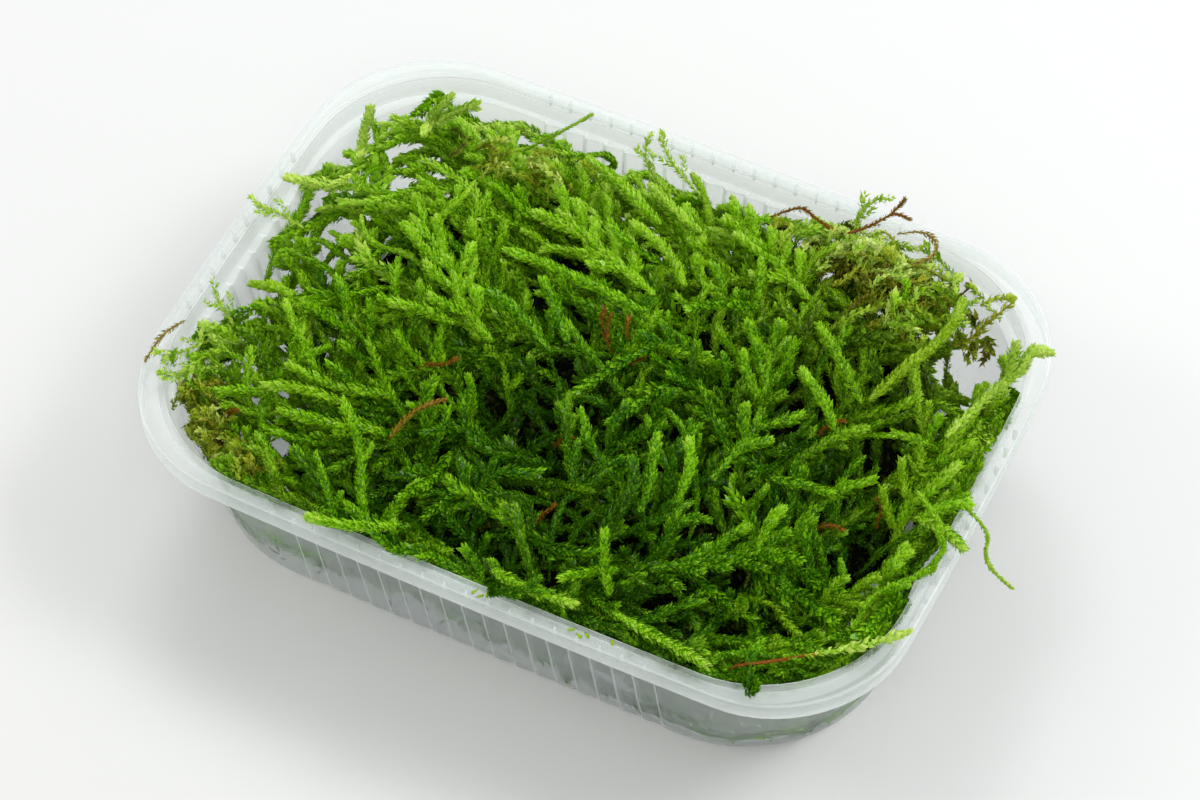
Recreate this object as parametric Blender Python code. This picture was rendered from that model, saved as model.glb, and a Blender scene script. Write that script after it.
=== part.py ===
"""A clump of feather moss in a clear food tub: the moulded tub, the packed bed of shoots, and the
loose shoots, fronds, strands and old stems that lie on the bed and over the rim.

Frame: metres, +Z up. The origin is the middle of the tub's underside, +X runs along the tub.
"""

import math

import bpy
import numpy as np

MM = 0.001

# Driving sizes of the tub.
RIM_LENGTH = 179 * MM
RIM_WIDTH = 130 * MM
TUB_HEIGHT = 39 * MM
RIM_CORNER = 29 * MM  # radius of the rim's corners, seen from above
BASE_CORNER = 32 * MM
WALL = 0.8 * MM
RIM_FLAT = 3.9 * MM  # width of the rim's flat top
SKIRT = 4.5 * MM  # the rim's down-turned edge
LEDGE_DEPTH = 5.5 * MM  # below the rim's top, the ledge that tubs stack on
LEDGE_INSET = 5.9 * MM
BASE_INSET = 9.7 * MM  # from the rim's outside to the foot of the wall
BASE_RADIUS = 2.0 * MM
SIDE_BOW = 0.02  # how far the sides bulge, as a share of the half width

# Pleats of the side walls, like saw teeth seen from above.
PLEAT_PITCH = 5.1 * MM
PLEAT_DEPTH = 0.5 * MM
PLEAT_STEP = 0.3 * MM
LONG_PLEATS = 17
SHORT_PLEATS = 9
CORNER_STEPS = 6

# The packed bed of moss.
GAP = 0.3 * MM
BED_GAP = 0.5 * MM
BED_TOP = 38.5 * MM
BED_EDGE_INSET = 7.4 * MM
BED_AROUND = 52
BED_RINGS = 12
MOUNDS = (  # x, y, height and radius, in millimetres: rises, then hollows
    (-50, 20, 9.5, 20),
    (-30, -8, 6.0, 22),
    (15, 12, 7.5, 24),
    (58, 22, 5.5, 18),
    (-62, -28, 3.5, 16),
    (30, -22, 4.0, 18),
    (78, 5, 3.0, 12),
    (-10, -28, -5.0, 11),
    (45, -40, -4.5, 10),
    (70, -22, -4.0, 10),
    (-8, -49, -4.0, 9),
)

# Loose pieces: radius in millimetres, number of side branches, and the route from root to tip, in
# millimetres from the origin. A z that would sink in the bed is lifted clear of it.
SHOOT, FROND, STRAND, STEM = 1.3, 1.1, 0.55, 0.7
LOOSE = {
    "shoot_back_left": (SHOOT, 0, [(-71, 24, 41), (-72, 29, 46), (-72, 33, 51)]),
    "frond_back_left": (SHOOT, 0, [(-60, 34, 42), (-61, 39, 45), (-59, 41, 49), (-57, 43, 52)]),
    "shoot_left_rim": (SHOOT, 0, [(-69, 18, 42), (-75, 14, 43.5), (-83, 13, 43)]),
    "sprig_left_rim": (STRAND, 0, [(-74, 4, 40), (-80, 4, 42), (-86, 4, 42)]),
    "sprig_left_tip": (STRAND, 0, [(-74, -26, 40), (-78, -24, 42), (-81, -22, 44)]),
    "stem_left_golden": (STEM, 0, [(-84, -30, 41), (-86, -36, 41.5), (-86, -43, 41)]),
    "strand_left_upper": (STRAND, 0, [(-75, -33, 41), (-79, -38, 42), (-83, -41, 41)]),
    "strand_left_lower": (STRAND, 0, [(-70, -39, 41), (-75, -42, 42), (-80, -46, 41.5)]),
    "shoot_front_rim": (SHOOT, 0, [(-17, -57, 41), (-25, -62, 42.5), (-34, -64, 42.5)]),
    "stem_front_corner": (
        STEM,
        0,
        [(60, -58, 40.5), (66, -54, 40.5), (74, -48, 41), (83, -41, 42), (89, -35, 42)],
    ),
    "shoot_front_corner": (SHOOT, 0, [(34, -57, 41), (42, -58, 41.5), (49, -59, 42), (56, -60, 42)]),
    "frond_right_rim": (
        SHOOT,
        0,
        [(77, 10, 43), (80, 23, 44), (84, 31, 46), (85, 37, 47), (88, 40, 45)],
    ),
    "stem_right_pointed": (STEM, 0, [(68, 33, 43.5), (71, 36, 44.5), (73, 40, 46), (76.5, 45.7, 49)]),
    "strand_right_hanging": (
        STRAND,
        0,
        [(84, -1, 41), (89, -3, 41.8), (93, -4, 38), (93, -4, 31), (95, -4, 26), (100, -5, 24)],
    ),
    "shoot_right_rim": (SHOOT, 0, [(79, -9, 42), (86, -10, 43), (91, -12, 42)]),
    "strand_back_dark": (STRAND, 0, [(-41, 40, 42), (-38, 43, 44), (-32, 46, 49), (-26, 51, 53)]),
    "strand_back_pair_a": (STRAND, 0, [(-10, 50, 40), (-13, 51, 44), (-14, 54, 48)]),
    "strand_back_pair_b": (STRAND, 0, [(1, 50, 40), (-7, 53, 43), (-12, 56, 47)]),
    "stem_back_right": (
        STEM,
        0,
        [
            (16, 46, 43),
            (21, 49, 46),
            (25, 51, 47.5),
            (29, 50, 47),
            (35, 49.5, 46),
            (40, 53, 47),
            (44, 57, 49),
            (48, 57.5, 48.5),
        ],
    ),
    "sprig_back_right": (STRAND, 0, [(37, 52.5, 48.5), (38, 56, 51), (41.5, 58.5, 54)]),
    "strand_back_loop": (
        STRAND,
        0,
        [(46, 54.5, 46), (51, 56.5, 47), (55, 54.8, 47.3), (55.3, 51.5, 46.3), (52, 48.9, 45)],
    ),
    "shoot_right_inner": (STRAND, 0, [(65, 38, 42), (66, 40, 43), (67, 44, 46)]),
    "shoot_front_upright": (SHOOT, 0, [(31, -54, 42.5), (28, -50, 45), (25, -44, 49)]),
    "shoot_front_mid": (SHOOT, 0, [(6, -58, 41), (15, -59, 41), (25, -58, 41)]),
    "stem_centre_brown": (STEM, 0, [(-27, -41, 46), (-25, -33, 47), (-21, -27, 46)]),
    "frond_back_long": (FROND, 4, [(7, 15, 48), (-10, 24, 44), (-24, 30, 44)]),
    "frond_mid_left": (FROND, 5, [(-19, -10, 46), (-29, -5, 47), (-36, 3, 48), (-49, 10, 50)]),
    "shoot_centre_cross": (SHOOT, 0, [(13, 3, 47), (7, -5, 45), (2, -13, 43)]),
    "shoot_centre_low": (SHOOT, 0, [(20, -4, 46), (16, -11, 45), (12, -17, 44)]),
    "shoot_centre_bar": (SHOOT, 0, [(28, 23, 46), (21, 19, 47), (15, 14, 48)]),
    "frond_right_centre": (FROND, 5, [(38, -21, 44), (40, -5, 44), (37, 8, 45), (34, 14, 45)]),
    "frond_right_back": (SHOOT, 0, [(58, 10, 45), (50, 17, 46), (41, 25, 44)]),
    "shoot_low_left": (SHOOT, 0, [(28, -34, 43), (27, -28, 44), (25, -22, 45), (23, -16, 45)]),
    "frond_low_right": (FROND, 4, [(35, -44, 41), (46, -35, 40), (58, -28, 41)]),
    "frond_right_low": (SHOOT, 0, [(48, -14, 43), (55, -12, 42), (61, -11, 42)]),
    "frond_left_upper": (SHOOT, 0, [(-33, -30, 43), (-45, -33, 43), (-56, -33, 44)]),
    "frond_left_lower": (SHOOT, 0, [(-30, -38, 42), (-41, -41, 42), (-53, -43, 42)]),
    "shoot_front_left": (SHOOT, 0, [(-16, -35, 40), (-16, -43, 40), (-20, -51, 41)]),
    "frond_back_tips": (SHOOT, 0, [(7, 38, 43), (-2, 42, 43), (-9, 45, 44)]),
    "frond_back_right": (FROND, 3, [(36, 31, 44), (24, 38, 44), (12, 44, 44)]),
}
FORKS = {  # a second finger that grew on a loose shoot: its route
    "frond_back_left": [(-61, 38, 44.5), (-56, 42, 48), (-51, 44, 51)],
    "frond_right_rim": [(83, 29, 45.5), (82.5, 32, 48), (82, 35, 51)],
    "stem_back_right": [(43, 56, 48.5), (44.5, 59, 50), (45.2, 60.2, 51.5)],
}
BRANCH_LENGTH = 6.5 * MM
BRANCH_ANGLE = math.radians(48)
SIDES = 5  # of a shoot's cross-section
STATIONS = 8  # rings along a shoot
BRANCH_STATIONS = 4


def clear_scene():
    for thing in list(bpy.data.objects):
        bpy.data.objects.remove(thing, do_unlink=True)


def material(name, colour, roughness, alpha=1.0):
    made = bpy.data.materials.new(name)
    made.use_nodes = True
    shader = made.node_tree.nodes["Principled BSDF"]
    shader.inputs["Base Color"].default_value = (*colour, 1.0)
    shader.inputs["Roughness"].default_value = roughness
    shader.inputs["Metallic"].default_value = 0.0
    shader.inputs["Alpha"].default_value = alpha
    return made


def add_object(name, points, faces, finish):
    mesh = bpy.data.meshes.new(name)
    mesh.from_pydata([tuple(p) for p in points], [], faces)
    mesh.materials.append(finish)
    mesh.shade_smooth()
    mesh.set_sharp_from_angle(angle=math.radians(35))
    made = bpy.data.objects.new(name, mesh)
    bpy.context.scene.collection.objects.link(made)
    return made


# ---------------------------------------------------------------- the tub


def corner_radius(inset):
    """Radius of the corners at a distance in from the rim's outside: it grows evenly to the wall's foot, and
    past the foot it shrinks as the inset grows, so the straight sides keep their length."""
    grown = (BASE_CORNER - RIM_CORNER) * min(inset, BASE_INSET) / BASE_INSET
    return RIM_CORNER + grown - max(inset - BASE_INSET, 0.0)


def pleated_line(pleats, half_straight):
    """Points along one side, as (distance along the side, share of the pleat's depth)."""
    first = -pleats * PLEAT_PITCH / 2
    line = [(-half_straight, 0.0)]
    for k in range(pleats):
        start = first + k * PLEAT_PITCH
        line.append((start + PLEAT_STEP / 2, 0.0))
        line.append((start + PLEAT_PITCH - PLEAT_STEP / 2, 1.0))
    line.append((-first + PLEAT_STEP / 2, 0.0))
    line.append((half_straight, 0.0))
    return line


def outline(inset, pleated=False):
    """The tub's outline seen from above, inset from the rim's outside, counterclockwise. Every outline has
    the same points in the same order, so that rings at two heights join one to one."""
    half_x, half_y = RIM_LENGTH / 2, RIM_WIDTH / 2
    radius = corner_radius(inset)
    depth = PLEAT_DEPTH if pleated else 0.0
    straight_x, straight_y = half_x - inset - radius, half_y - inset - radius
    half_turn = []
    for along, share in pleated_line(LONG_PLEATS, straight_x):
        half_turn.append((along, -(half_y - inset - depth * share)))
    for step in range(1, CORNER_STEPS):
        angle = math.radians(-90 + 90 * step / CORNER_STEPS)
        half_turn.append((straight_x + radius * math.cos(angle), -straight_y + radius * math.sin(angle)))
    for along, share in pleated_line(SHORT_PLEATS, straight_y):
        half_turn.append((half_x - inset - depth * share, along))
    for step in range(1, CORNER_STEPS):
        angle = math.radians(90 * step / CORNER_STEPS)
        half_turn.append((straight_x + radius * math.cos(angle), straight_y + radius * math.sin(angle)))
    half = np.array(half_turn)
    ring = np.vstack([half, -half])
    bowed = ring.copy()
    bowed[:, 0] *= 1 - SIDE_BOW * (ring[:, 1] / half_y) ** 2
    bowed[:, 1] *= 1 - SIDE_BOW * (ring[:, 0] / half_x) ** 2
    return bowed


def ring_at(inset, height, pleated=False):
    flat = outline(inset, pleated)
    return np.column_stack([flat, np.full(len(flat), height)])


def tub_profile():
    """(inset, height, pleated) of each ring, from the middle of the underside, up the outside, over the rim
    and down the inside to the floor."""
    top = TUB_HEIGHT
    return (
        (BASE_INSET + BASE_RADIUS, 0.0, False),
        (BASE_INSET + 0.3 * BASE_RADIUS, 0.3 * BASE_RADIUS, True),
        (BASE_INSET, BASE_RADIUS, True),
        (LEDGE_INSET - WALL, top - LEDGE_DEPTH - WALL, True),
        (RIM_FLAT - WALL + 0.3 * MM, top - LEDGE_DEPTH - WALL, False),
        (RIM_FLAT - WALL, top - WALL, False),
        (WALL, top - WALL, False),
        (WALL, top - SKIRT, False),
        (0.0, top - SKIRT, False),
        (0.0, top - 0.6 * MM, False),
        (0.6 * MM, top, False),
        (RIM_FLAT, top, False),
        (RIM_FLAT + 0.4 * MM, top - LEDGE_DEPTH, False),
        (LEDGE_INSET, top - LEDGE_DEPTH, True),
        (BASE_INSET + WALL, WALL + BASE_RADIUS, True),
        (BASE_INSET + WALL + BASE_RADIUS, WALL, False),
    )


def loft(rings):
    """Faces that join rings of equal length one to one, with a flat cap on the first and the last."""
    count = len(rings[0])
    faces = [tuple(reversed(range(count)))]
    for level in range(len(rings) - 1):
        low, high = level * count, (level + 1) * count
        for k in range(count):
            after = (k + 1) % count
            faces.append((low + k, low + after, high + after, high + k))
    last = (len(rings) - 1) * count
    faces.append(tuple(range(last, last + count)))
    return np.vstack(rings), faces


def make_tub(finish):
    points, faces = loft([ring_at(*row) for row in tub_profile()])
    return add_object("tub", points, faces, finish)


# ---------------------------------------------------------------- the bed of moss


def ease(value):
    share = np.clip(value, 0.0, 1.0)
    return share * share * (3 - 2 * share)


def bed_height(x, y):
    """Height of the bed's top at a point: a level with mounds and hollows, lower along the back and the left
    wall, where the tub's wall shows above the moss."""
    height = BED_TOP
    for centre_x, centre_y, rise, radius in MOUNDS:
        away = (x - centre_x * MM) ** 2 + (y - centre_y * MM) ** 2
        height = height + rise * MM * np.exp(-away / (radius * MM) ** 2)
    height = height - 10 * MM * ease((y - 43 * MM) / (14 * MM))
    left_wall = ease((-68 * MM - x) / (12 * MM)) * ease((y + 35 * MM) / (10 * MM))
    return height - 6 * MM * left_wall


def bed_outline(inset):
    """An outline without pleats, evenly spaced round the tub, BED_AROUND points."""
    ring = outline(inset)
    closed = np.vstack([ring, ring[:1]])
    run = np.concatenate([[0.0], np.cumsum(np.linalg.norm(np.diff(closed, axis=0), axis=1))])
    at = np.linspace(0.0, run[-1], BED_AROUND, endpoint=False)
    return np.column_stack([np.interp(at, run, closed[:, k]) for k in (0, 1)])


def make_bed(finish):
    foot = bed_outline(BASE_INSET + WALL + BASE_RADIUS + BED_GAP)
    floor = WALL + GAP
    wall_foot = bed_outline(BASE_INSET + WALL + PLEAT_DEPTH + BED_GAP)
    edge = bed_outline(BED_EDGE_INSET)
    rings = [
        np.column_stack([foot, np.full(BED_AROUND, floor)]),
        np.column_stack([wall_foot, np.full(BED_AROUND, WALL + BASE_RADIUS + GAP)]),
    ]
    for ring in range(BED_RINGS):
        share = 1 - ring / BED_RINGS
        flat = edge * share
        rings.append(np.column_stack([flat, bed_height(flat[:, 0], flat[:, 1])]))
    points, faces = loft(rings)
    faces.pop()
    last, middle = len(points) - BED_AROUND, len(points)
    points = np.vstack([points, [0.0, 0.0, bed_height(0.0, 0.0)]])
    for k in range(BED_AROUND):
        faces.append((last + k, last + (k + 1) % BED_AROUND, middle))
    return add_object("moss_bed", points, faces, finish)


# ---------------------------------------------------------------- loose shoots and stems


def smooth_route(route, count):
    """count points on a Catmull-Rom curve through the route's points."""
    knots = np.array(route, float)
    padded = np.vstack([2 * knots[0] - knots[1], knots, 2 * knots[-1] - knots[-2]])
    spans = len(knots) - 1
    found = []
    for at in np.linspace(0, spans, count):
        span = min(int(at), spans - 1)
        t = at - span
        before, start, end, after = padded[span : span + 4]
        found.append(
            0.5
            * (
                2 * start
                + (end - before) * t
                + (2 * before - 5 * start + 4 * end - after) * t**2
                + (3 * start - before - 3 * end + after) * t**3
            )
        )
    return np.array(found)


def clear_of_bed(path, radius):
    """The same path, lifted where it would touch the bed."""
    clearance = radius + 1.2 * MM
    lifted = path.copy()
    inside = (np.abs(path[:, 0]) < RIM_LENGTH / 2 - BED_EDGE_INSET) & (
        np.abs(path[:, 1]) < RIM_WIDTH / 2 - BED_EDGE_INSET
    )
    lowest = bed_height(path[:, 0], path[:, 1]) + clearance
    lifted[:, 2] = np.where(inside, np.maximum(path[:, 2], lowest), path[:, 2])
    return lifted


def tapered_tube(path, radius):
    """A tube along a path, thinner at its root and rounded to a small end at its tip."""
    tangents = np.gradient(path, axis=0)
    tangents /= np.linalg.norm(tangents, axis=1)[:, None]
    sideways = np.cross(tangents, (0.0, 0.0, 1.0))
    sideways /= np.linalg.norm(sideways, axis=1)[:, None]
    upward = np.cross(sideways, tangents)
    share = np.linspace(0, 1, len(path))
    width = radius * (0.55 + 0.45 * np.sin(math.pi * np.clip(share * 1.1, 0, 1)) ** 0.5)
    width[-1] *= 0.5
    angles = np.arange(SIDES) * 2 * math.pi / SIDES
    rings = [
        path[k] + width[k] * (np.outer(np.cos(angles), upward[k]) + np.outer(np.sin(angles), sideways[k]))
        for k in range(len(path))
    ]
    return loft(rings)


def branch_paths(stem, count):
    """Side branches of a frond, left and right in turn, each curving back towards the stem's tip."""
    found = []
    for k in range(count):
        at = (k + 0.8) / (count + 0.6) * (len(stem) - 1)
        low = int(at)
        root = stem[low] + (stem[low + 1] - stem[low]) * (at - low)
        forward = stem[low + 1] - stem[low]
        heading = math.atan2(forward[1], forward[0]) + BRANCH_ANGLE * (1 if k % 2 else -1)
        length = BRANCH_LENGTH * (1.1 - 0.5 * k / count)
        reach = np.linspace(0, 1, BRANCH_STATIONS)
        turn = heading - 0.35 * reach * (1 if k % 2 else -1)
        steps = np.column_stack([np.cos(turn), np.sin(turn), 0.12 * reach])
        found.append(root + steps * (reach * length)[:, None])
    return found


def make_loose(name, radius_mm, branches, route, finish):
    """One loose shoot, frond or stem: a tapered tube, joined with the tubes of its branches."""
    radius = radius_mm * MM
    stem = clear_of_bed(smooth_route(np.array(route) * MM, STATIONS), radius)
    made = add_object(name, *tapered_tube(stem, radius), finish)
    arms = branch_paths(stem, branches)
    if name in FORKS:
        arms.append(smooth_route(np.array(FORKS[name]) * MM, BRANCH_STATIONS + 1))
    for k, arm in enumerate(arms):
        path = clear_of_bed(arm, radius)
        path[0] = arm[0]
        helper = add_object(f"{name}_arm_{k}", *tapered_tube(path, radius * 0.85), finish)
        helper.hide_render = True
        helper.display_type = "WIRE"
        join = made.modifiers.new(f"join_{k}", "BOOLEAN")
        join.operation = "UNION"
        join.solver = "EXACT"
        join.object = helper
    return made


def main():
    clear_scene()
    clear_plastic = material("clear_plastic", (0.86, 0.89, 0.89), 0.25, alpha=0.45)
    green = material("moss_green", (0.10, 0.26, 0.03), 0.55)
    bright = material("moss_tips", (0.27, 0.50, 0.05), 0.5)
    brown = material("old_stem", (0.30, 0.13, 0.04), 0.6)
    make_tub(clear_plastic)
    make_bed(green)
    for name, (radius_mm, branches, route) in LOOSE.items():
        finish = brown if name.startswith("stem") else bright
        make_loose(name, radius_mm, branches, route, finish)


main()
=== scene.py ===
"""Looks for the clump of feather moss in its clear food tub: leafy shoots and fronds grown over the
packed bed, the milky tub, crumbs and drops, a pale floor, soft light and the camera.

Frame: metres, +Z up. The origin is the middle of the tub's underside, +X runs along the tub.
"""

import math

import bpy
import numpy as np
from mathutils import Matrix, Vector


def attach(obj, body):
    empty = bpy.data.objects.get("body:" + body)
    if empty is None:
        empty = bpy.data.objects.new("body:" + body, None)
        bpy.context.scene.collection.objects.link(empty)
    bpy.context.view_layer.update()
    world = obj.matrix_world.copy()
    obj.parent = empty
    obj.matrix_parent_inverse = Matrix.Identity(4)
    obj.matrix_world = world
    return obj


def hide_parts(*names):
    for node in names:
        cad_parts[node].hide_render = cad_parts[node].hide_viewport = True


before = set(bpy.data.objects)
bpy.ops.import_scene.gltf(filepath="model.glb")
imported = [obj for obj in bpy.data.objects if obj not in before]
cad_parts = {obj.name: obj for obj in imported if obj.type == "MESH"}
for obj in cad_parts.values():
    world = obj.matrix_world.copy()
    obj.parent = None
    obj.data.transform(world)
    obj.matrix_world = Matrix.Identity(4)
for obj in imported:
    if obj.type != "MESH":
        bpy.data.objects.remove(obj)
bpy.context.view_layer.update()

MM = 0.001

# ---------------------------------------------------------------- sizes

RIM_LENGTH = 179 * MM
RIM_WIDTH = 130 * MM
TUB_HEIGHT = 39 * MM
RIM_CORNER = 29 * MM
BASE_CORNER = 32 * MM
WALL = 0.8 * MM
RIM_FLAT = 3.9 * MM
SKIRT = 4.5 * MM
LEDGE_DEPTH = 5.5 * MM
LEDGE_INSET = 5.9 * MM
BASE_INSET = 9.7 * MM
BASE_RADIUS = 2.0 * MM
SIDE_BOW = 0.02
PLEAT_PITCH = 5.1 * MM
PLEAT_DEPTH = 0.5 * MM
PLEAT_STEP_MARK = 0.30 * MM  # the thick line on a pleat's step starts and ends this far from it
PLEAT_STEP_END = 0.50 * MM
LONG_PLEATS = 17
SHORT_PLEATS = 9
CORNER_STEPS = 14

GOLDEN_SECTION = 0.618034
ROUTE_STEPS = 24
LUMP_POINTS = 26  # two poles and four rings of six
CRUMB_HEIGHT = 39.1  # millimetres: just over the rim
LEAF_ROOM = 1.1 * MM  # between a shoot's core and the tub's wall
FLOOR_ROOM = 2.6 * MM  # and over its floor
TONE_REACH = 20  # millimetres over which tones blend into each other
LIE_REACH = 22  # the same for headings

BED_TOP = 38.5 * MM
MOUNDS = (  # x, y, height and radius, in millimetres: rises, then hollows
    (-50, 20, 9.5, 20),
    (-30, -8, 6.0, 22),
    (15, 12, 7.5, 24),
    (58, 22, 5.5, 18),
    (-62, -28, 3.5, 16),
    (30, -22, 4.0, 18),
    (78, 5, 3.0, 12),
    (-10, -28, -5.0, 11),
    (45, -40, -4.5, 10),
    (70, -22, -4.0, 10),
    (-8, -49, -4.0, 9),
)

# The lie of the moss: at a point, in millimetres, the heading that shoots grow in, in degrees from +X.
LIE = (
    (-57, 17, 168),
    (1, 43, 158),
    (-46, -46, 176),
    (-14, 10, 160),
    (34, -17, 112),
    (78, -29, 25),
    (70, 21, 85),
    (45, -55, 8),
    (-11, -54, 195),
    (-66, -37, 150),
    (40, 48, 70),
    (-13, -20, 150),
    (29, 19, 118),
    (5, -40, 60),
)
# The moss's tone (0 dark, 1 bright) and how yellow-brown it is, at points in millimetres. The tone is
# partly the moss's own shade of green and partly painted light and shade: bright at the back and along
# the left and right edges, where light comes through, and dark in the middle and towards the front.
TONES = (
    (-70, 25, 0.96, 0.10),
    (-60, -10, 0.58, 0.05),
    (-79, -32, 0.84, 0.20),
    (-60, -36, 0.48, 0.06),
    (-40, 35, 0.86, 0.10),
    (-38, 8, 0.50, 0.03),
    (-14, 12, 0.46, 0.02),
    (0, 45, 0.88, 0.12),
    (20, 22, 0.32, 0.0),
    (52, 50, 0.62, 0.42),
    (68, 42, 0.60, 0.34),
    (30, 42, 0.54, 0.10),
    (52, 26, 0.37, 0.08),
    (72, 18, 0.44, 0.12),
    (84, 2, 0.86, 0.12),
    (60, -10, 0.25, 0.0),
    (34, -12, 0.37, 0.0),
    (-2, -22, 0.24, 0.0),
    (15, -52, 0.30, 0.02),
    (60, -45, 0.29, 0.0),
    (86, -25, 0.72, 0.10),
    (-30, -46, 0.38, 0.0),
)

# Loose pieces, one for each loose solid: its kind, a key of KINDS or of OLD_KINDS or the half green
# "stem_green_tip", and its route from root to tip in millimetres.
LOOSE = {
    "shoot_back_left": ("shoot", [(-71, 24, 41), (-72, 29, 46), (-72, 33, 51)]),
    "frond_back_left": ("shoot", [(-60, 34, 42), (-61, 39, 45), (-59, 41, 49), (-57, 43, 52)]),
    "shoot_left_rim": ("shoot", [(-69, 18, 42), (-75, 14, 43.5), (-83, 13, 43)]),
    "sprig_left_rim": ("pale", [(-74, 4, 40), (-80, 4, 42), (-86, 4, 42)]),
    "sprig_left_tip": ("pale", [(-74, -26, 40), (-78, -24, 42), (-81, -22, 44)]),
    "stem_left_golden": ("golden", [(-84, -30, 41), (-86, -36, 41.5), (-86, -43, 41)]),
    "strand_left_upper": ("pale", [(-75, -33, 41), (-79, -38, 42), (-83, -41, 41)]),
    "strand_left_lower": ("pale", [(-70, -39, 41), (-75, -42, 42), (-80, -46, 41.5)]),
    "shoot_front_rim": ("shoot", [(-17, -57, 41), (-25, -62, 42.5), (-34, -64, 42.5)]),
    "stem_front_corner": (
        "stem_green_tip",
        [(60, -58, 40.5), (66, -54, 40.5), (74, -48, 41), (83, -41, 42), (89, -35, 42)],
    ),
    "shoot_front_corner": ("shoot", [(34, -57, 41), (42, -58, 41.5), (49, -59, 42), (56, -60, 42)]),
    "frond_right_rim": ("shoot", [(77, 10, 43), (80, 23, 44), (84, 31, 46), (85, 37, 47), (88, 40, 45)]),
    "stem_right_pointed": ("pointed", [(68, 33, 43.5), (71, 36, 44.5), (73, 40, 46), (76.5, 45.7, 49)]),
    "strand_right_hanging": (
        "strand",
        [(84, -1, 41), (89, -3, 41.8), (93, -4, 38), (93, -4, 31), (95, -4, 26), (100, -5, 24)],
    ),
    "shoot_right_rim": ("shoot", [(79, -9, 42), (86, -10, 43), (91, -12, 42)]),
    "strand_back_dark": ("strand", [(-41, 40, 42), (-38, 43, 44), (-32, 46, 49), (-26, 51, 53)]),
    "strand_back_pair_a": ("pale", [(-10, 50, 40), (-13, 51, 44), (-14, 54, 48)]),
    "strand_back_pair_b": ("pale", [(1, 50, 40), (-7, 53, 43), (-12, 56, 47)]),
    "stem_back_right": (
        "stem",
        [(16, 46, 43), (21, 49, 46), (25, 51, 47.5), (29, 50, 47)]
        + [(35, 49.5, 46), (40, 53, 47), (44, 57, 49), (48, 57.5, 48.5)],
    ),
    "sprig_back_right": ("pale", [(37.5, 51.2, 46.6), (38, 54.5, 50), (41, 57.5, 53)]),
    "strand_back_loop": (
        "golden",
        [(46, 54.5, 46), (51, 56.5, 47), (55, 54.8, 47.3), (55.3, 51.5, 46.3), (52, 48.9, 45)],
    ),
    "shoot_right_inner": ("pale", [(65, 38, 42), (66, 40, 43), (67, 44, 46)]),
    "shoot_front_upright": ("shoot", [(31, -54, 42.5), (28, -50, 45), (25, -44, 49)]),
    "shoot_front_mid": ("shoot", [(6, -58, 41), (15, -59, 41), (25, -58, 41)]),
    "stem_centre_brown": ("rusty", [(-27, -41, 46), (-25, -33, 47), (-21, -27, 46)]),
    "frond_back_long": ("frond", [(7, 15, 48), (-10, 24, 44), (-24, 30, 44)]),
    "frond_mid_left": ("frond", [(-19, -10, 46), (-29, -5, 47), (-36, 3, 48), (-49, 10, 50)]),
    "shoot_centre_cross": ("shoot", [(13, 3, 47), (7, -5, 45), (2, -13, 43)]),
    "shoot_centre_low": ("shoot", [(20, -4, 46), (16, -11, 45), (12, -17, 44)]),
    "shoot_centre_bar": ("shoot", [(28, 23, 46), (21, 19, 47), (15, 14, 48)]),
    "frond_right_centre": ("frond", [(38, -21, 44), (40, -5, 44), (37, 8, 45), (34, 14, 45)]),
    "frond_right_back": ("shoot", [(58, 10, 45), (50, 17, 46), (41, 25, 44)]),
    "shoot_low_left": ("shoot", [(28, -34, 43), (27, -28, 44), (25, -22, 45), (23, -16, 45)]),
    "frond_low_right": ("frond", [(35, -44, 41), (46, -35, 40), (58, -28, 41)]),
    "frond_right_low": ("shoot", [(48, -14, 43), (55, -12, 42), (61, -11, 42)]),
    "frond_left_upper": ("shoot", [(-33, -30, 43), (-45, -33, 43), (-56, -33, 44)]),
    "frond_left_lower": ("shoot", [(-30, -38, 42), (-41, -41, 42), (-53, -43, 42)]),
    "shoot_front_left": ("shoot", [(-16, -35, 40), (-16, -43, 40), (-20, -51, 41)]),
    "frond_back_tips": ("shoot", [(7, 38, 43), (-2, 42, 43), (-9, 45, 44)]),
    "frond_back_right": ("frond", [(36, 31, 44), (24, 38, 44), (12, 44, 44)]),
}
FORKS = {  # second arms
    "stem_back_right": [(43, 56, 48.5), (44.5, 59, 50), (45.2, 60.2, 51.5)],
    "frond_back_left": [(-61, 38, 44.5), (-56, 42, 48), (-51, 44, 51)],
    "frond_right_rim": [(83, 29, 45.5), (82.5, 32, 48), (82, 35, 51)],
}

# ---------------------------------------------------------------- meshes from arrays


def piece(name, points, polygons, material, smooth=True, **attributes):
    """A mesh piece from whole arrays: points (n, 3), a list of index arrays (m, k) of polygons, one array
    for each number of corners k, and colour attributes (n, 4) by name."""
    mesh = bpy.data.meshes.new(name)
    corners = np.concatenate([p.ravel() for p in polygons])
    sizes = np.concatenate([np.full(len(p), p.shape[1]) for p in polygons])
    starts = np.cumsum(sizes) - sizes
    mesh.vertices.add(len(points))
    mesh.vertices.foreach_set("co", np.asarray(points, np.float32).ravel())
    mesh.loops.add(len(corners))
    mesh.loops.foreach_set("vertex_index", corners.astype(np.int32))
    mesh.polygons.add(len(sizes))
    mesh.polygons.foreach_set("loop_start", starts.astype(np.int32))
    mesh.update(calc_edges=True)
    for title, values in attributes.items():
        layer = mesh.attributes.new(title, "FLOAT_COLOR", "POINT")
        layer.data.foreach_set("color", np.asarray(values, np.float32).ravel())
    if smooth:
        mesh.shade_smooth()
    mesh.materials.append(material)
    made = bpy.data.objects.new(name, mesh)
    bpy.context.scene.collection.objects.link(made)
    return made


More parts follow.
